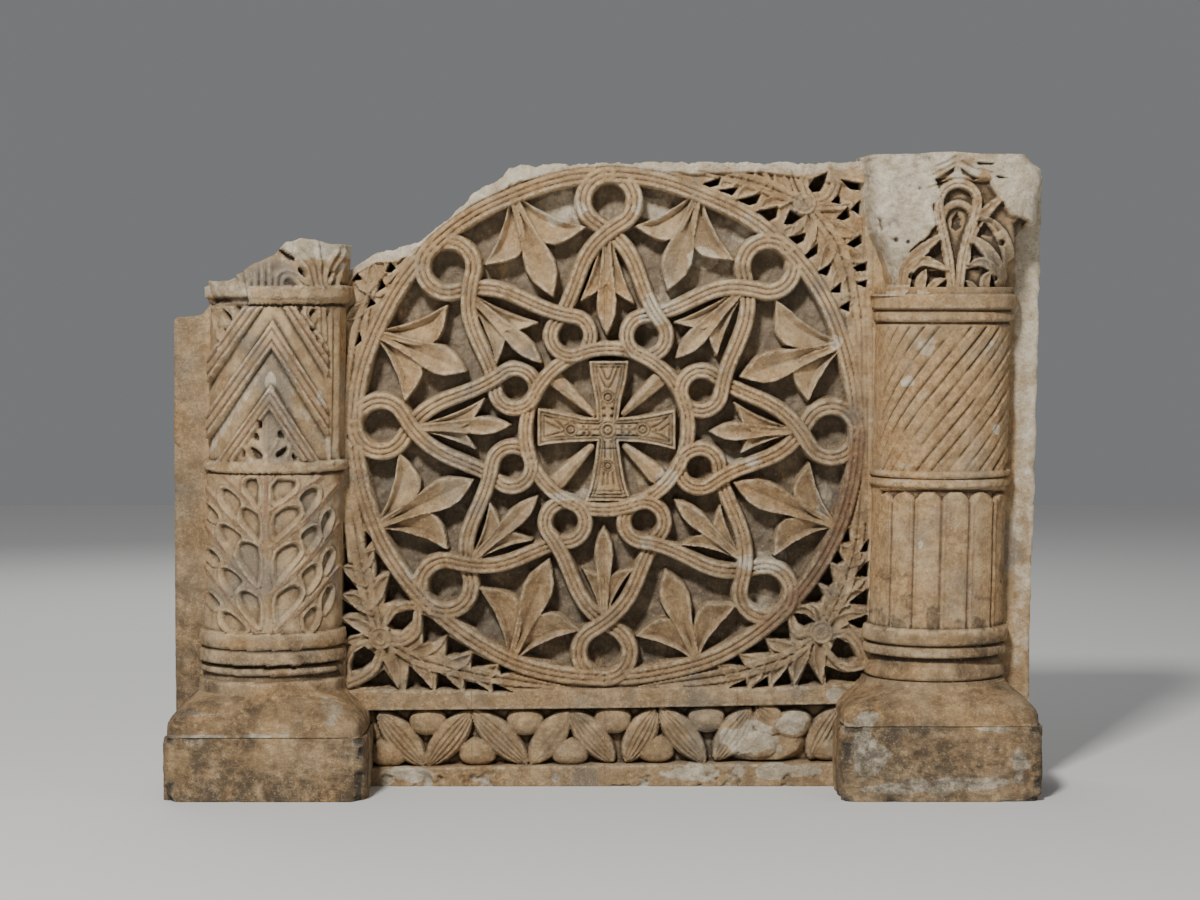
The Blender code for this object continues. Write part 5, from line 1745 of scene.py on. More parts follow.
PODS = (
    ((260, 517), (252, 511), (244, 507), (239, 511), (239, 519), (245, 528), (254, 538), (260, 545)),
    ((260, 549), (250, 543), (241, 542), (236, 547), (236, 557), (243, 568), (252, 581), (259, 588)),
    ((260, 601), (250, 593), (240, 591), (237, 598), (240, 607), (247, 616), (256, 628), (260, 628)),
    ((259, 479), (247, 479), (243, 484), (244, 491), (252, 502), (259, 510)), ((222, 487), (232, 492),
    (242, 503), (238, 512), (236, 520), (228, 512), (221, 503), (219, 493)), ((221, 523), (231, 528),
    (243, 538), (237, 542), (234, 555), (228, 549), (220, 539), (217, 529)), ((222, 567), (232, 571),
    (244, 583), (236, 588), (232, 596), (223, 585), (219, 574)), ((222, 611), (232, 615), (248, 630),
    (240, 634), (228, 632), (220, 625), (219, 616)), ((206, 502), (212, 508), (220, 518), (214, 522),
    (206, 512)), ((206, 547), (214, 552), (221, 562), (215, 566), (206, 556)), ((207, 591), (214, 597),
    (221, 606), (214, 610), (207, 600)), ((272, 480), (296, 480), (299, 486), (289, 497), (272, 508)),
    ((273, 517), (283, 509), (293, 506), (301, 509), (302, 515), (295, 523), (283, 534), (273, 542)),
    ((274, 555), (284, 547), (294, 543), (301, 547), (302, 554), (294, 564), (283, 577), (274, 586)),
    ((274, 599), (284, 590), (294, 585), (302, 589), (303, 596), (295, 607), (284, 618), (276, 627)),
    ((299, 499), (308, 490), (316, 487), (321, 490), (320, 498), (313, 509), (306, 516), (304, 505)),
    ((301, 536), (308, 529), (316, 525), (321, 529), (321, 536), (314, 547), (307, 554), (304, 543)),
    ((301, 576), (308, 568), (316, 563), (320, 568), (320, 577), (313, 588), (307, 594), (305, 584)),
    ((303, 619), (309, 611), (316, 606), (320, 611), (319, 621), (313, 631), (306, 632)), ((322, 518),
    (330, 509), (334, 514), (330, 528), (323, 538)), ((323, 558), (331, 548), (335, 552), (331, 566),
    (324, 576)), ((322, 598), (330, 585), (334, 588), (331, 604), (323, 616))
)
LEFT_MOULDINGS = (
    Moulding(200, 287, 6, 1), Moulding(287, 299, 7, 7, 0.5, 0.5), Moulding(299, 304.5, 4, 1, 0, 0.3),
    Moulding(304.5, 307.5, -8, -8), Moulding(307.5, 463, -2, -2), Moulding(463, 473.5, 2, 2, 2, 0.4),
    Moulding(473.5, 476, -5, -4), Moulding(476, 635.5, -1, -1), Moulding(635.5, 638.5, 5, 5),
    Moulding(638.5, 651, 4, 3, 3, 0.5), Moulding(651, 654.5, -1, 3), Moulding(654.5, 667, 4, 4, 3, 0.4),
    Moulding(667, 670.5, -9, -9), Moulding(670.5, 677, 0, 1, 3, 0.3), Moulding(677, 684.5, -4, -1),
    Moulding(684.5, 698, 4, 5, 1), Moulding(698, 760, 6, 6))
RIGHT_MOULDINGS = (
    Moulding(270, 295, 2, 2), Moulding(295, 309, 6, 6, 1, 0.5), Moulding(309, 313.5, 5, -6),
    Moulding(313.5, 322, 1, 1, 3, 0.3), Moulding(322, 325, -4, -4), Moulding(325, 472.5, -1, -1, 0, 0.1),
    Moulding(472.5, 479.5, 0, 0, 3, 0.3), Moulding(479.5, 481, -4, -4), Moulding(481, 489, 0, 0, 3, 0.3),
    Moulding(489, 631.5, -2, -2, 0, 0.25), Moulding(631.5, 647, 3, 3, 3.5, 0.5), Moulding(647, 649.5, -3, 0),
    Moulding(649.5, 660, 2, 2, 3.5, 0.5), Moulding(660, 669, -9, -3), Moulding(669, 682, -1, 2, 2),
    Moulding(682, 685, -3, 0), Moulding(685, 692, 4, 5), Moulding(692, 760, 6, 6))


@dataclass
class Foot:
    """A square plinth with a rounded cushion that carries the shaft, as rings of points."""

    name: str
    centre: float
    height: float
    half: float = 0.145
    round_top: float = 0.104
    cushion: float = 0.062
    columns: int = 180
    seed: int = 1
    soil: float = 0.85
    pale: tuple[tuple[float, float, float, float, float], ...] = ()
    chips: tuple[tuple[Point, ...], ...] = ()

    def build(self) -> bpy.types.Object:
        """Rings from the top centre down over the cushion and the plinth to the foot's centre.

        Returns:
            The piece.
        """
        angle = np.linspace(0, 2 * math.pi, self.columns + 1)[:-1][None, :]
        t = np.linspace(0, 1, 40)
        swell = smooth(t / 0.80)
        rows = [np.stack([self.height + self.cushion * (1 - t),
                          self.round_top + (self.half - 0.004 - self.round_top) * swell,
                          2 + 9 * smooth((t - 0.1) / 0.7)], axis=1)]
        t = np.linspace(0, 1, 6)
        rows.append(np.stack([self.height - 0.001 - 0.0015 * t,
                              self.half - 0.004 - 0.004 * np.sin(math.pi * t) + 0.003 * t,
                              11 + 20 * t], axis=1))
        t = np.linspace(0, 1, 44)
        rows.append(np.stack([(self.height - 0.004) * (1 - t), self.half + 0 * t, 44 + 0 * t], axis=1))
        levels, halves, powers = np.concatenate(rows).T
        z = levels[:, None]
        half = halves[:, None]
        spread = squareness(angle, powers[:, None])
        x, y = half / spread * np.sin(angle), -half / spread * np.cos(angle)
        z = z + 0 * x
        px, py = x + self.centre, y
        u, v = seen_at(px, py, z)
        relief = Relief(u, v)
        block = z < self.height - 0.002
        corner = smooth((np.abs(x) + np.abs(y) - 0.262) / 0.024) * block
        rim = np.maximum(smooth((z - self.height + 0.016) / 0.012), smooth((0.012 - z) / 0.012)) * block
        rough = noise(px, py, z, 0.045, self.seed)
        wear = 3.0 * corner + 2.5 * rim * smooth((rough + 0.3) / 0.8) + 4.0 * corner * rim
        wear = wear + 4.0 * smooth((rough - 0.35) / 0.4) * np.maximum(rim, corner)
        tooled = np.abs(noise(px * 0.35, py, z * 1.6, 0.007, self.seed + 1)) * block
        scraped = np.abs(noise(px, py * 0.3, z * 0.2, 0.004, self.seed + 8, 2)) * (1 - block)
        relief.height = -wear - 1.2 * tooled - 1.3 * scraped - 0.3
        relief.height = relief.height - 1.6 * np.abs(noise(px, py, z, 0.05, self.seed + 2, 2))
        cushion = (z > self.height) & (half > 0.106)
        relief.height = relief.height - 1.0 * cushion * np.abs(noise(px, py, z, 0.02, self.seed + 3))
        seam = np.exp(-((z - self.height - 0.001) / 0.0035)**2) * smooth((rough + 0.35) / 0.5)
        relief.stained[Stain.PALE] = np.maximum(0.55 * smooth((wear - 2.2) / 2.5), 0.75 * seam)
        for patch in self.pale:
            relief.patch(*patch, seed=int(patch[0]))
        for outline in self.chips:
            relief.pit(outline, 4.5, 7.0)
        patchy = 0.6 * noise(px, py, z, 0.09, self.seed + 5)
        relief.stained[Stain.WARM] = np.clip(0.65 + patchy + 0.3 * cushion, 0, 1)
        grime = np.clip(0.85 + 0.7 * noise(px, py, z, 0.05, self.seed + 6), 0.1, 1.3)
        soil = self.soil * np.where(block, 1.1, 0.9) * grime + 0.5 * tooled
        relief.stained[Stain.SOIL] = np.clip(soil, 0, 1)
        shrink = 1 + relief.height * MM / np.maximum(half, 0.05)
        x, y = x * shrink, np.minimum(y * shrink, 0.06)
        y = np.maximum(y, -0.140)
        stains = relief.stains(relief.hollow(((2, 4.0, 0.6), (5, 8.0, 0.5))))
        points = np.stack([x + self.centre, y, np.maximum(z, 0)], axis=-1)
        return closed_rings(self.name, points, stains)


# Pale places of the plinths: middle, half width, half height and strength
LEFT_FOOT_PALE = (
    (200, 716, 40, 3, 0.5), (330, 712, 12, 20, 0.5), (260, 738, 60, 3, 0.4)
)
RIGHT_FOOT_PALE = (
    (867, 721, 14, 9, 1.0), (867, 756, 22, 28, 0.8), (940, 789, 44, 8, 0.9), (988, 787, 30, 9, 0.8),
    (896, 792, 36, 6, 0.8), (1022, 768, 9, 22, 0.6), (930, 757, 8, 16, 0.45), (1000, 731, 26, 4, 0.6)
)

# Outline of the right plinth's chip
RIGHT_FOOT_CHIPS = (
    ((918, 788), (950, 776), (985, 782), (1005, 774), (1012, 802), (920, 802)),
)


# Middle line of the right capital's arch
CAPITAL_ARCH = [
    (951, 293), (948, 262), (943, 238), (938, 215), (938, 201), (944, 190), (957, 185), (970, 190),
    (976, 201), (974, 216), (967, 238), (961, 262), (958, 293)
]

# Outline of the right capital's broken left face
CAPITAL_BREAK = [
    (850, 150), (925, 150), (934, 176), (938, 196), (931, 208), (936, 224), (925, 240), (910, 252),
    (899, 268), (893, 288), (888, 288), (876, 252), (850, 244)
]

# Outline of the rough block at the right capital's right corner
CAPITAL_LUMP = [
    (996, 150), (1060, 150), (1060, 236), (1036, 238), (1026, 222), (1010, 218), (1000, 205), (990, 186),
    (985, 170)
]

# Narrow hollows over the right capital's arch
CAPITAL_PITS = (
    ((933, 181), (940, 177), (952, 169), (953, 173), (944, 181), (935, 184)), ((958, 169), (968, 176),
    (977, 180), (972, 182), (960, 176)), ((975, 164), (992, 165), (990, 167), (976, 167)), ((994, 177),
    (1006, 180), (996, 180))
)

# Incised lines over the right capital's arch
CAPITAL_CUTS = (
    ((934, 168), (944, 164), (954, 158)), ((932, 176), (942, 171), (953, 165)), ((960, 163), (972, 170),
    (990, 174)), ((926, 190), (936, 186), (946, 184))
)

# Openings between the right capital's leaves
CAPITAL_OPENINGS = (
    ((927, 272), (948, 271), (949, 279), (929, 280)), ((964, 266), (978, 267), (979, 271), (968, 271)),
    ((975, 222), (992, 220), (1000, 232), (990, 238), (978, 236)), ((928, 250), (941, 242), (943, 262),
    (930, 262)), ((967, 244), (974, 246), (984, 258), (970, 258)), ((1010, 262), (1014, 262), (1012, 285))
)


@dataclass
class RightCapital:
    """A block capital with an arch between leaves, its left face broken away."""

    name: str = "right_capital"
    rows: int = 150
    front_columns: int = 250
    seed: int = 91

    def build(self) -> bpy.types.Object:
        """Squarish rings that widen upwards, carved where the drawing shows it.

        Returns:
            The piece.
        """
        angle = np.concatenate([np.radians(np.linspace(-118, 118, self.front_columns)),
                                np.radians(np.linspace(118, 242, 14)[1:-1])])[None, :]
        v_row = np.linspace(297, 155, self.rows)
        z = level(v_row)[:, None]
        low = np.interp(v_row, [155, 215, 232, 246, 266, 286, 297], [863, 864, 869, 876, 884, 889, 872])
        high = np.interp(v_row, [155, 164, 172, 185, 222, 240, 262, 286, 297],
                         [1028, 1036, 1042, 1045, 1041, 1030, 1018, 1012, 1011])
        left = (low - MIDDLE) * UNIT / CAPITAL_NEARER
        right = (high - MIDDLE) * UNIT / CAPITAL_NEARER
        centre = ((left + right) / 2)[:, None]
        half = ((right - left) / 2)[:, None]
        power = np.interp(v_row, [155, 200, 240, 290, 297], [6, 5, 3.4, 2.1, 2.0])[:, None]
        depth = np.interp(v_row, [155, 200, 250, 290, 297], [0.112, 0.110, 0.105, 0.101, 0.100])[:, None]
        spread = squareness(angle, power)
        x = centre + half / spread * np.sin(angle)
        y = -depth / spread * np.cos(angle)
        z = z + 0 * x
        u, v = seen_at(x, y, z)
        relief = Relief(u, v, 0.0)
        self.carve(relief)
        facing = smooth((np.cos(angle) + 0.25) / 0.3)
        height = relief.height * facing - 0.6 * np.abs(noise(x, y, z, 0.008, self.seed)) - 0.8
        inward_x = (x - centre) / half
        inward_y = y / depth
        side = smooth((np.abs(inward_x) - 0.80) / 0.20) * (np.abs(inward_x) >= np.abs(inward_y) * 0.8)
        push = height * MM
        y = y + np.where(inward_y < 0, -push * (1 - 0.7 * side), 0)
        x = x + np.sign(inward_x) * push * side
        x = np.clip(x, 0.36, 0.6300)
        y = np.clip(y, -0.1385, 0.134)
        stains = relief.stains(relief.hollow(((2, 4.0, 0.6), (5, 9.0, 0.5), (12, 18.0, 0.4))))
        rings = [np.stack([x, y, z], axis=-1)]
        marks = [stains]
        top_outline = np.interp(MIDDLE + x[-1] * TOP_NEARER / UNIT,
                                [860, 890, 930, 950, 970, 1010, 1025, 1035, 1046],
                                [161, 158, 154.5, 154, 155.5, 158.5, 161, 166, 182])
        crown = level(top_outline) + 0 * x[-1]
        rings[0][-1, :, 2] = crown
        for shrink in (0.95, 0.85, 0.7, 0.5, 0.3, 0.1):
            rx = centre[-1] + (x[-1] - centre[-1]) * shrink
            ry = y[-1] * shrink
            rz = crown.max() * (1 - shrink**2) + crown * shrink**2
            rz = rz - 0.004 * np.abs(noise(rx, ry, rx * 0, 0.03, 93)) - 0.0015
            rings.append(np.stack([rx, ry, rz], axis=-1)[None])
            marks.append(np.tile(np.array([0.85, 0, 0.3, 0.45, 0.0]), (1, rx.size, 1)))
        return closed_rings(self.name, np.concatenate(rings), np.concatenate(marks))

    def carve(self, relief: Relief) -> None:
        """Cuts the arch, the leaves and the broken faces.

        Args:
            relief: What is cut.
        """
        u, v = relief.u, relief.v
        flat = u * 0
        relief.height = relief.height - 15.0 * smooth((296 - v) / 2) * smooth((v - 178) / 8)
        for points, width, valley in CAPITAL_LEAVES:
            line = line_through(points, 40)
            wide = [(0, width * 0.75), (0.3, width), (0.65, width * 0.9), (0.88, width * 0.45), (1, 0.3)]
            relief.lobe(line, wide, wide, crest=-0.5, valley=valley, wall=1.2)
        arch = line_through(CAPITAL_ARCH, 60)
        relief.band(arch, np.zeros(len(arch)), 4.2, cords=2, groove=2.4, crest=0.5)
        hood = line_through([(941, 218), (946, 209), (957, 205), (967, 209), (972, 218)], 24)
        relief.band(hood, np.zeros(len(hood)), 3.2, cords=1, groove=2.0, crest=-4.0)
        relief.pit([(951, 229), (951, 221), (956, 214), (960, 221), (960, 229), (955, 232)], 8, 1.2)
        wound = CAPITAL_BREAK
        away = inside(u, v, wound)
        broken = smooth((1.5 - away + 1.5 * noise(u, v, flat, 8, 94)) / 3)
        rough = (-6.0 + 4.0 * noise(u, v, flat, 34, 95, 2) + 1.8 * noise(u, v, flat, 7, 96)
                 - 6.0 * smooth((12 - np.hypot(u - 893, v - 226)) / 9))
        relief.height = relief.height * (1 - broken) + rough * broken
        relief.tint(Stain.PALE, 0.95 * broken)
        lump = CAPITAL_LUMP
        away = inside(u, v, lump)
        stuck = smooth((1.5 - away + 2.5 * noise(u, v, flat, 9, 97)) / 5)
        high = -2.0 + 3.0 * noise(u, v, flat, 26, 98, 2) + 0.7 * noise(u, v, flat, 6, 99, 2)
        relief.height = relief.height * (1 - stuck) + high * stuck
        relief.tint(Stain.PALE, 0.95 * stuck)
        relief.tint(Stain.PALE, 0.55 * smooth((182 + 12 * noise(u, v, flat, 16, 99) - v) / 8))
        relief.tint(Stain.PALE, 0.5 * smooth((v - 284 + 6 * noise(u, v, flat, 9, 92)) / 6))
        relief.pit([(1010, 224), (1020, 216), (1032, 226), (1026, 246), (1014, 250)], 9, 5)
        for outline in CAPITAL_PITS:
            relief.pit(outline, 8, 1.4)
        for points in CAPITAL_CUTS:
            relief.cut(points, 2.5, 1.2)
        relief.hole(911, 277, 3.6, 9)
        relief.hole(1000, 244, 3.6, 9)
        relief.hole(993, 279, 3.2, 8)
        for outline in CAPITAL_OPENINGS:
            relief.pit(outline, 7, 2.0)
        relief.pit([(873, 217), (881, 220), (885, 229), (877, 235), (872, 228)], 7, 4)
        relief.hole(895, 241, 2.6, 4)
        relief.hole(907, 243, 2.2, 3.5)
        relief.hole(918, 190, 2.0, 2.5)
        relief.stained[Stain.WARM] = np.clip(0.45 + 0.5 * noise(u, v, flat, 40, 100), 0, 1)


# The stone's finish


def group_socket(group: bpy.types.NodeTree, name: str, kind: str, output: bool = False,
                 value: float | None = None) -> None:
    """Adds one named input or output to a node group.

    Args:
        group: The node group.
        name: The socket's name.
        kind: What it carries.
        output: Whether it is an output.
        value: What it starts from.
    """
    socket = group.interface.new_socket(name=name, in_out="OUTPUT" if output else "INPUT",
                                        socket_type=kind)
    if value is not None:
        socket.default_value = value


class Nodes:
    """Short ways to add and join nodes of one tree."""

    def __init__(self, tree: bpy.types.NodeTree) -> None:
        """Keeps the tree."""
        self.tree = tree

    def add(self, kind: str, **values: object) -> bpy.types.Node:
        """A node of this kind; values name its own settings.

        Args:
            kind: The node's kind.
            values: The node's own settings.

        Returns:
            The new node.
        """
        node = self.tree.nodes.new(kind)
        for key, value in values.items():
            setattr(node, key, value)
        return node

    def join(self, source: bpy.types.NodeSocket, target: bpy.types.NodeSocket) -> None:
        """Links two sockets."""
        self.tree.links.new(source, target)

    def noise(self, vector: bpy.types.NodeSocket, scale: float, detail: float = 4.0,
              rough: float = 0.55) -> bpy.types.NodeSocket:
        """A noise texture's value.

        Args:
            vector: The places.
            scale: How many lumps to a unit.
            detail: How many finer sizes of lump it holds.
            rough: How strong the finer ones are.

        Returns:
            The value's socket.
        """
        node = self.add("ShaderNodeTexNoise")
        node.inputs["Scale"].default_value = scale
        node.inputs["Detail"].default_value = detail
        node.inputs["Roughness"].default_value = rough
        self.join(vector, node.inputs["Vector"])
        return node.outputs["Fac"]

    def spread(self, value: bpy.types.NodeSocket, low: float, high: float) -> bpy.types.NodeSocket:
        """Stretches a value so that low becomes 0 and high becomes 1, clamped and smooth.

        Args:
            value: The value.
            low: What becomes 0.
            high: What becomes 1.

        Returns:
            The stretched value.
        """
        node = self.add("ShaderNodeMapRange", interpolation_type="SMOOTHSTEP")
        node.inputs["From Min"].default_value = low
        node.inputs["From Max"].default_value = high
        self.join(value, node.inputs["Value"])
        return node.outputs["Result"]

    def math(self, operation: str, a: bpy.types.NodeSocket | float,
             b: bpy.types.NodeSocket | float) -> bpy.types.NodeSocket:
        """One sum on two values.

        Args:
            operation: The kind of sum.
            a: The first value, a socket or a number.
            b: The second.

        Returns:
            The result's socket.
        """
        node = self.add("ShaderNodeMath", operation=operation)
        for value, socket in ((a, node.inputs[0]), (b, node.inputs[1])):
            if isinstance(value, (int, float)):
                socket.default_value = value
            else:
                self.join(value, socket)
        return node.outputs[0]

    def times(self, a: bpy.types.NodeSocket, b: bpy.types.NodeSocket | float) -> bpy.types.NodeSocket:
        """The product of two values."""
        return self.math("MULTIPLY", a, b)

    def layer(self, base: bpy.types.NodeSocket, mask: bpy.types.NodeSocket, strength: float,
              colour: object) -> bpy.types.NodeSocket:
        """Lays a colour over a base where a mask times a strength says so."""
        return self.mix(self.times(mask, strength), base, colour)

    def mix(self, factor: bpy.types.NodeSocket, a: object, b: object) -> bpy.types.NodeSocket:
        """Mixes two colours, each a socket or a colour.

        Args:
            factor: The share of the second.
            a: The first colour.
            b: The second.

        Returns:
            The mixed colour.
        """
        node = self.add("ShaderNodeMix", data_type="RGBA")
        self.join(factor, node.inputs["Factor"])
        for value, socket in ((a, node.inputs[6]), (b, node.inputs[7])):
            if isinstance(value, tuple):
                socket.default_value = value
            else:
                self.join(value, socket)
        return node.outputs[2]


def shade(hue: Hue) -> tuple[float, float, float, float]:
    """One of the stone's colours as a shader takes it.

    Args:
        hue: Which colour.

    Returns:
        Its amounts of light and full cover.
    """
    def linear(value: int) -> float:
        """One channel's everyday value as an amount of light."""
        c = value / 255
        return c / 12.92 if c <= 0.04045 else ((c + 0.055) / 1.055)**2.4

    red, green, blue = (linear(value) for value in hue.value)
    return red, green, blue, 1.0


def weathered_stone() -> bpy.types.NodeTree:
    """Shared effect: limestone with warm patina, grey bloom, pale breaks, red paint and dark grime, with
    painted shade in recesses and painted highlights on ridges.

    Returns:
        The node group.
    """
    group = bpy.data.node_groups.new("weathered_stone", "ShaderNodeTree")
    stains = {"Pale": 0.0, "Red": 0.0, "Warm": 0.5, "Hollow": 0.5, "Soil": 0.0, "GrimeAndShade": 1.0}
    for name, value in stains.items():
        group_socket(group, name, "NodeSocketFloat", value=value)
    group_socket(group, "Color", "NodeSocketColor", output=True)
    group_socket(group, "Roughness", "NodeSocketFloat", output=True)
    group_socket(group, "Height", "NodeSocketFloat", output=True)
    n = Nodes(group)
    source = n.add("NodeGroupInput").outputs
    target = n.add("NodeGroupOutput").inputs
    place = n.add("ShaderNodeTexCoord").outputs["Object"]
    broad = n.noise(place, 6.0, 5.0, 0.6)
    cloud = n.noise(place, 26.0, 7.0, 0.68)
    grain = n.noise(place, 330.0, 4.0, 0.75)
    speck = n.noise(place, 95.0, 7.0, 0.75)
    base = n.mix(n.spread(cloud, 0.36, 0.66), shade(Hue.DULL), shade(Hue.LIGHT))
    warm = n.times(n.spread(broad, 0.30, 0.56), source["Warm"])
    patina = n.mix(n.spread(speck, 0.35, 0.65), shade(Hue.BROWN), shade(Hue.GOLDEN))
    base = n.layer(base, warm, 0.80, patina)
    grey = n.spread(n.noise(place, 17.0, 7.0, 0.72), 0.50, 0.68)
    cool = n.times(grey, n.math("SUBTRACT", 1.0, n.times(source["Warm"], 0.75)))
    base = n.layer(base, cool, 0.85, shade(Hue.ASH))
    bare = n.spread(source["Warm"], 0.14, 0.02)
    base = n.layer(base, bare, 0.60, shade(Hue.BARE))
    pale_edge = n.math("ADD", source["Pale"], n.times(n.math("SUBTRACT", cloud, 0.5), 0.9))
    pale = n.times(n.spread(pale_edge, 0.30, 0.62), n.spread(source["Pale"], 0.02, 0.2))
    bright = n.mix(n.spread(cloud, 0.34, 0.64), shade(Hue.BROKEN), shade(Hue.FRESH))
    bright = n.mix(n.times(n.spread(speck, 0.54, 0.44), 0.35), bright, shade(Hue.FRECKLE))
    base = n.mix(pale, base, bright)
    # Painted highlight on ridges and crests, partly rubbed edges, from the hollow measure.
    rub_and_highlight = n.spread(source["Hollow"], 0.42, 0.10)
    rub_and_highlight = n.times(rub_and_highlight, n.spread(speck, 0.40, 0.62))
    base = n.layer(base, rub_and_highlight, 0.70, shade(Hue.RUBBED_AND_HIGHLIGHT))
    scuff = n.times(n.spread(n.noise(place, 55.0, 8.0, 0.8), 0.60, 0.70), n.spread(grain, 0.35, 0.6))
    base = n.layer(base, scuff, 0.50, shade(Hue.SCUFF))
    paint = n.times(source["Red"], n.spread(cloud, 0.38, 0.52))
    base = n.layer(base, paint, 0.85, shade(Hue.PAINT))
    # Dark grime, with the painted shade that the meshes carry in holes, incisions and grooves.
    soot_and_shade = n.times(source["Soil"], n.spread(n.noise(place, 44.0, 9.0, 0.8), 0.30, 0.58))
    base = n.layer(base, soot_and_shade, 0.85, shade(Hue.SOOT_AND_SHADE))
    # Painted shade in recesses, partly grime, from the hollow measure and the finish's strength.
    grime_and_shade = n.times(n.spread(source["Hollow"], 0.52, 0.92), source["GrimeAndShade"])
    patchy_grime_and_shade = n.times(grime_and_shade, n.spread(cloud, 0.05, 0.50))
    base = n.layer(base, patchy_grime_and_shade, 0.88, shade(Hue.GRIME_AND_SHADE))
    veins = n.spread(n.noise(place, 150.0, 7.0, 0.8), 0.56, 0.68)
    base = n.layer(base, veins, 0.50, shade(Hue.VEIN))
    crumbs = n.spread(n.noise(place, 420.0, 3.0, 0.7), 0.44, 0.34)
    base = n.layer(base, crumbs, 0.42, shade(Hue.CRUMB))
    flecks = n.times(n.spread(grain, 0.52, 0.64), n.spread(speck, 0.46, 0.56))
    base = n.layer(base, flecks, 0.26, shade(Hue.FLECK))
    vivid = n.add("ShaderNodeHueSaturation")
    vivid.inputs["Saturation"].default_value = 0.96
    vivid.inputs["Value"].default_value = 0.98
    n.join(base, vivid.inputs["Color"])
    n.join(vivid.outputs["Color"], target["Color"])
    rough = n.add("ShaderNodeMapRange")
    rough.inputs["To Min"].default_value = 0.72
    rough.inputs["To Max"].default_value = 0.95
    n.join(grain, rough.inputs["Value"])
    n.join(rough.outputs["Result"], target["Roughness"])
    height = n.math("ADD", n.times(grain, 0.5), n.times(speck, 0.9))
    n.join(height, target["Height"])
    return group


@dataclass(frozen=True)
class StoneFinish:
    """One finish of the stone: how strong its grime and painted shade in recesses are, and how rough it
    feels.
    """

    name: str = "carved_limestone"
    grime_and_shade: float = 1.0
    bump: float = 0.85

    def build(self, group: bpy.types.NodeTree) -> bpy.types.Material:
        """The material, which reads the stains that each mesh carries.

        Args:
            group: The weathered stone's node group.

        Returns:
            The material.
        """
        material = bpy.data.materials.new(self.name)
        material.use_nodes = True
        tree = material.node_tree
        n = Nodes(tree)
        shader = tree.nodes["Principled BSDF"]
        shader.inputs["Specular IOR Level"].default_value = 0.25
        stone = n.add("ShaderNodeGroup", node_tree=group)
        stains = n.add("ShaderNodeAttribute", attribute_name="stains")
        parts = n.add("ShaderNodeSeparateColor")
        n.join(stains.outputs["Color"], parts.inputs["Color"])
        for channel, stain in (("Red", "Pale"), ("Green", "Red"), ("Blue", "Warm")):
            n.join(parts.outputs[channel], stone.inputs[stain])
        n.join(stains.outputs["Alpha"], stone.inputs["Hollow"])
        soil = n.add("ShaderNodeAttribute", attribute_name="soil")
        n.join(soil.outputs["Fac"], stone.inputs["Soil"])
        stone.inputs["GrimeAndShade"].default_value = self.grime_and_shade
        n.join(stone.outputs["Color"], shader.inputs["Base Color"])
        n.join(stone.outputs["Roughness"], shader.inputs["Roughness"])
        bump = n.add("ShaderNodeBump")
        bump.inputs["Strength"].default_value = self.bump
        bump.inputs["Distance"].default_value = 0.005
        n.join(stone.outputs["Height"], bump.inputs["Height"])
        n.join(bump.outputs["Normal"], shader.inputs["Normal"])
        return material


# Studio


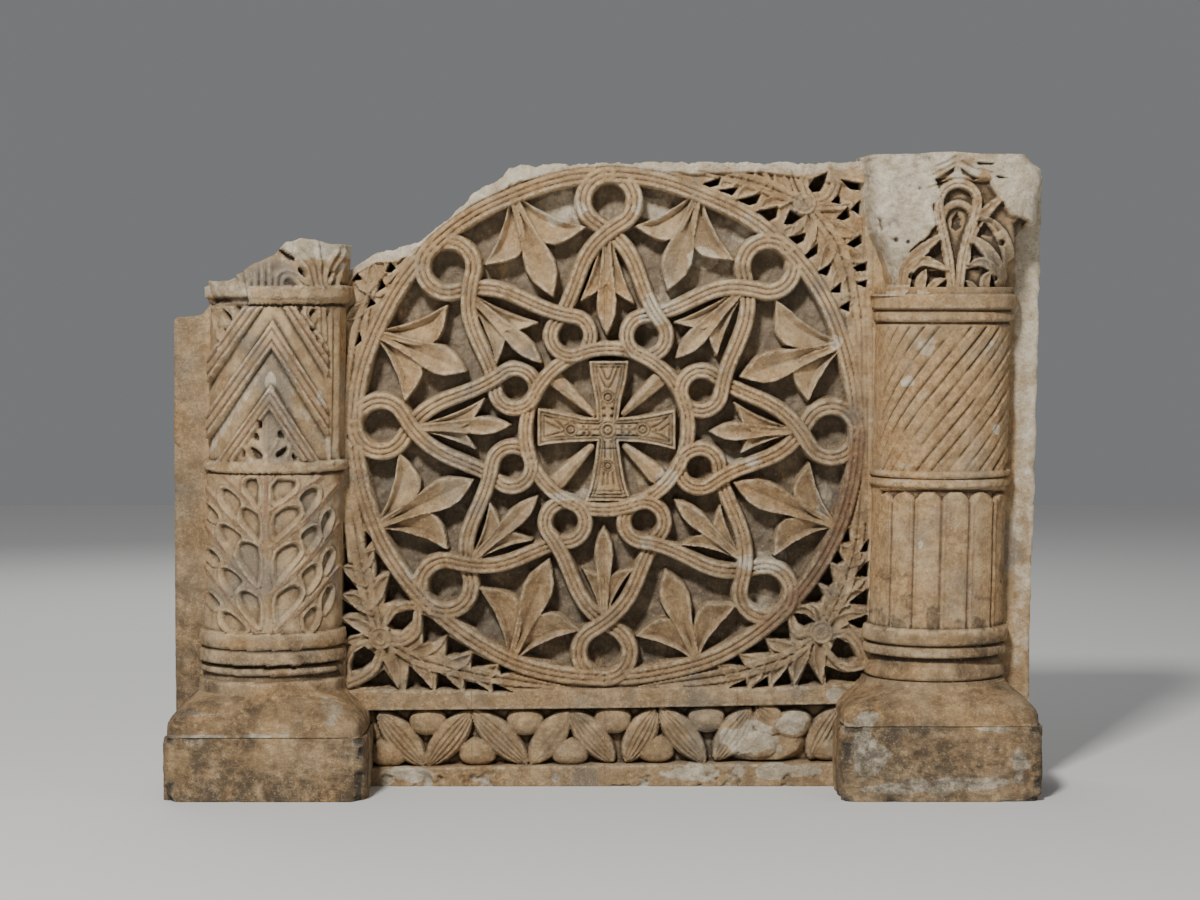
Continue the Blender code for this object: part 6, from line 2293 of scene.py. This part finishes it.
@dataclass
class Studio:
    """Pale floor, soft lights and the camera."""

    lens: float = 93.42
    camera_place: tuple[float, float, float] = (-0.0184, -4.5, 0.7178)
    aim: tuple[float, float, float] = (-0.0107, 0.0, 0.4901)

    def build(self) -> None:
        """Puts everything in place."""
        self.floor()
        self.light("sky_panel", (-1.3, -4.6, 4.1), (0.0, 0.0, 0.45), 0.70, 470.0, (1.0, 0.985, 0.96))
        self.light("front_panel", (-2.4, -3.2, 1.3), (0.0, 0.0, 0.4), 1.6, 6.0, (1.0, 0.99, 0.97))
        self.light("right_panel", (2.6, -2.4, 1.7), (0.0, 0.0, 0.5), 1.4, 12.0, (1.0, 0.99, 0.97))
        self.light("back_panel", (-1.0, 3.0, 2.4), (0.0, 0.2, 0.5), 2.6, 40.0, (1.0, 0.99, 0.98))
        world = bpy.data.worlds.new("studio")
        bpy.context.scene.world = world
        world.use_nodes = True
        back = world.node_tree.nodes["Background"]
        back.inputs["Color"].default_value = (0.92, 0.94, 0.97, 1.0)
        back.inputs["Strength"].default_value = 0.20
        self.camera()

    def floor(self) -> None:
        """A plain pale floor."""
        mesh = bpy.data.meshes.new("floor")
        mesh.from_pydata([(-6, -6, 0), (6, -6, 0), (6, 6, 0), (-6, 6, 0)], [], [(0, 1, 2, 3)])
        item = bpy.data.objects.new("floor", mesh)
        bpy.context.scene.collection.objects.link(item)
        material = bpy.data.materials.new("studio_floor")
        material.use_nodes = True
        shader = material.node_tree.nodes["Principled BSDF"]
        shader.inputs["Base Color"].default_value = (0.62, 0.62, 0.61, 1)
        shader.inputs["Roughness"].default_value = 0.8
        mesh.materials.append(material)

    def light(self, name: str, place: tuple[float, float, float], aim: tuple[float, float, float],
              size: float, power: float, colour: tuple[float, float, float]) -> None:
        """A square soft light that faces its aim.

        Args:
            name: Its name.
            place: Where it hangs.
            aim: What it faces.
            size: The square's side.
            power: Watts.
            colour: Its colour.
        """
        data = bpy.data.lights.new(name, "AREA")
        data.size = size
        data.energy = power
        data.color = colour
        item = bpy.data.objects.new(name, data)
        bpy.context.scene.collection.objects.link(item)
        item.location = place
        self.face(item, aim)

    def face(self, item: bpy.types.Object, aim: tuple[float, float, float]) -> None:
        """Turns a light or the camera so that it looks at a place, with no roll."""
        way = Vector(aim) - Vector(item.location)
        item.rotation_euler = way.to_track_quat("-Z", "Y").to_euler()

    def camera(self) -> None:
        """The camera at the photograph's viewing angle."""
        data = bpy.data.cameras.new("camera")
        data.lens = self.lens
        data.sensor_width = 36.0
        item = bpy.data.objects.new("camera", data)
        bpy.context.scene.collection.objects.link(item)
        item.location = self.camera_place
        self.face(item, self.aim)
        bpy.context.scene.camera = item


def main() -> None:
    """Builds every piece in order, gives it the stone finish, attaches it to the root and reports it."""
    logging.basicConfig(level=logging.INFO, format="%(message)s")
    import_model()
    group = weathered_stone()
    carved = StoneFinish().build(group)
    pieces = Slab().build()
    pieces.append(LeftShaft("left_shaft", -0.4895, 0.100, mouldings=LEFT_MOULDINGS, seed=201).build())
    pieces.append(RightShaft("right_shaft", 0.4705, 0.0985, mouldings=RIGHT_MOULDINGS, seed=301).build())
    pieces.append(RightCapital().build())
    pieces.append(Foot("left_foot", -0.4855, 0.092, seed=401, pale=LEFT_FOOT_PALE).build())
    pieces.append(Foot("right_foot", 0.4715, 0.108, cushion=0.056, seed=501, pale=RIGHT_FOOT_PALE,
                       chips=RIGHT_FOOT_CHIPS).build())
    for piece in pieces:
        piece.data.materials.append(carved)
        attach(piece, "root")
        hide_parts("chancel_panel")
        LOG.info("%s: %d faces", piece.name, len(piece.data.polygons))
    Studio().build()


if __name__ == "__main__":
    main()
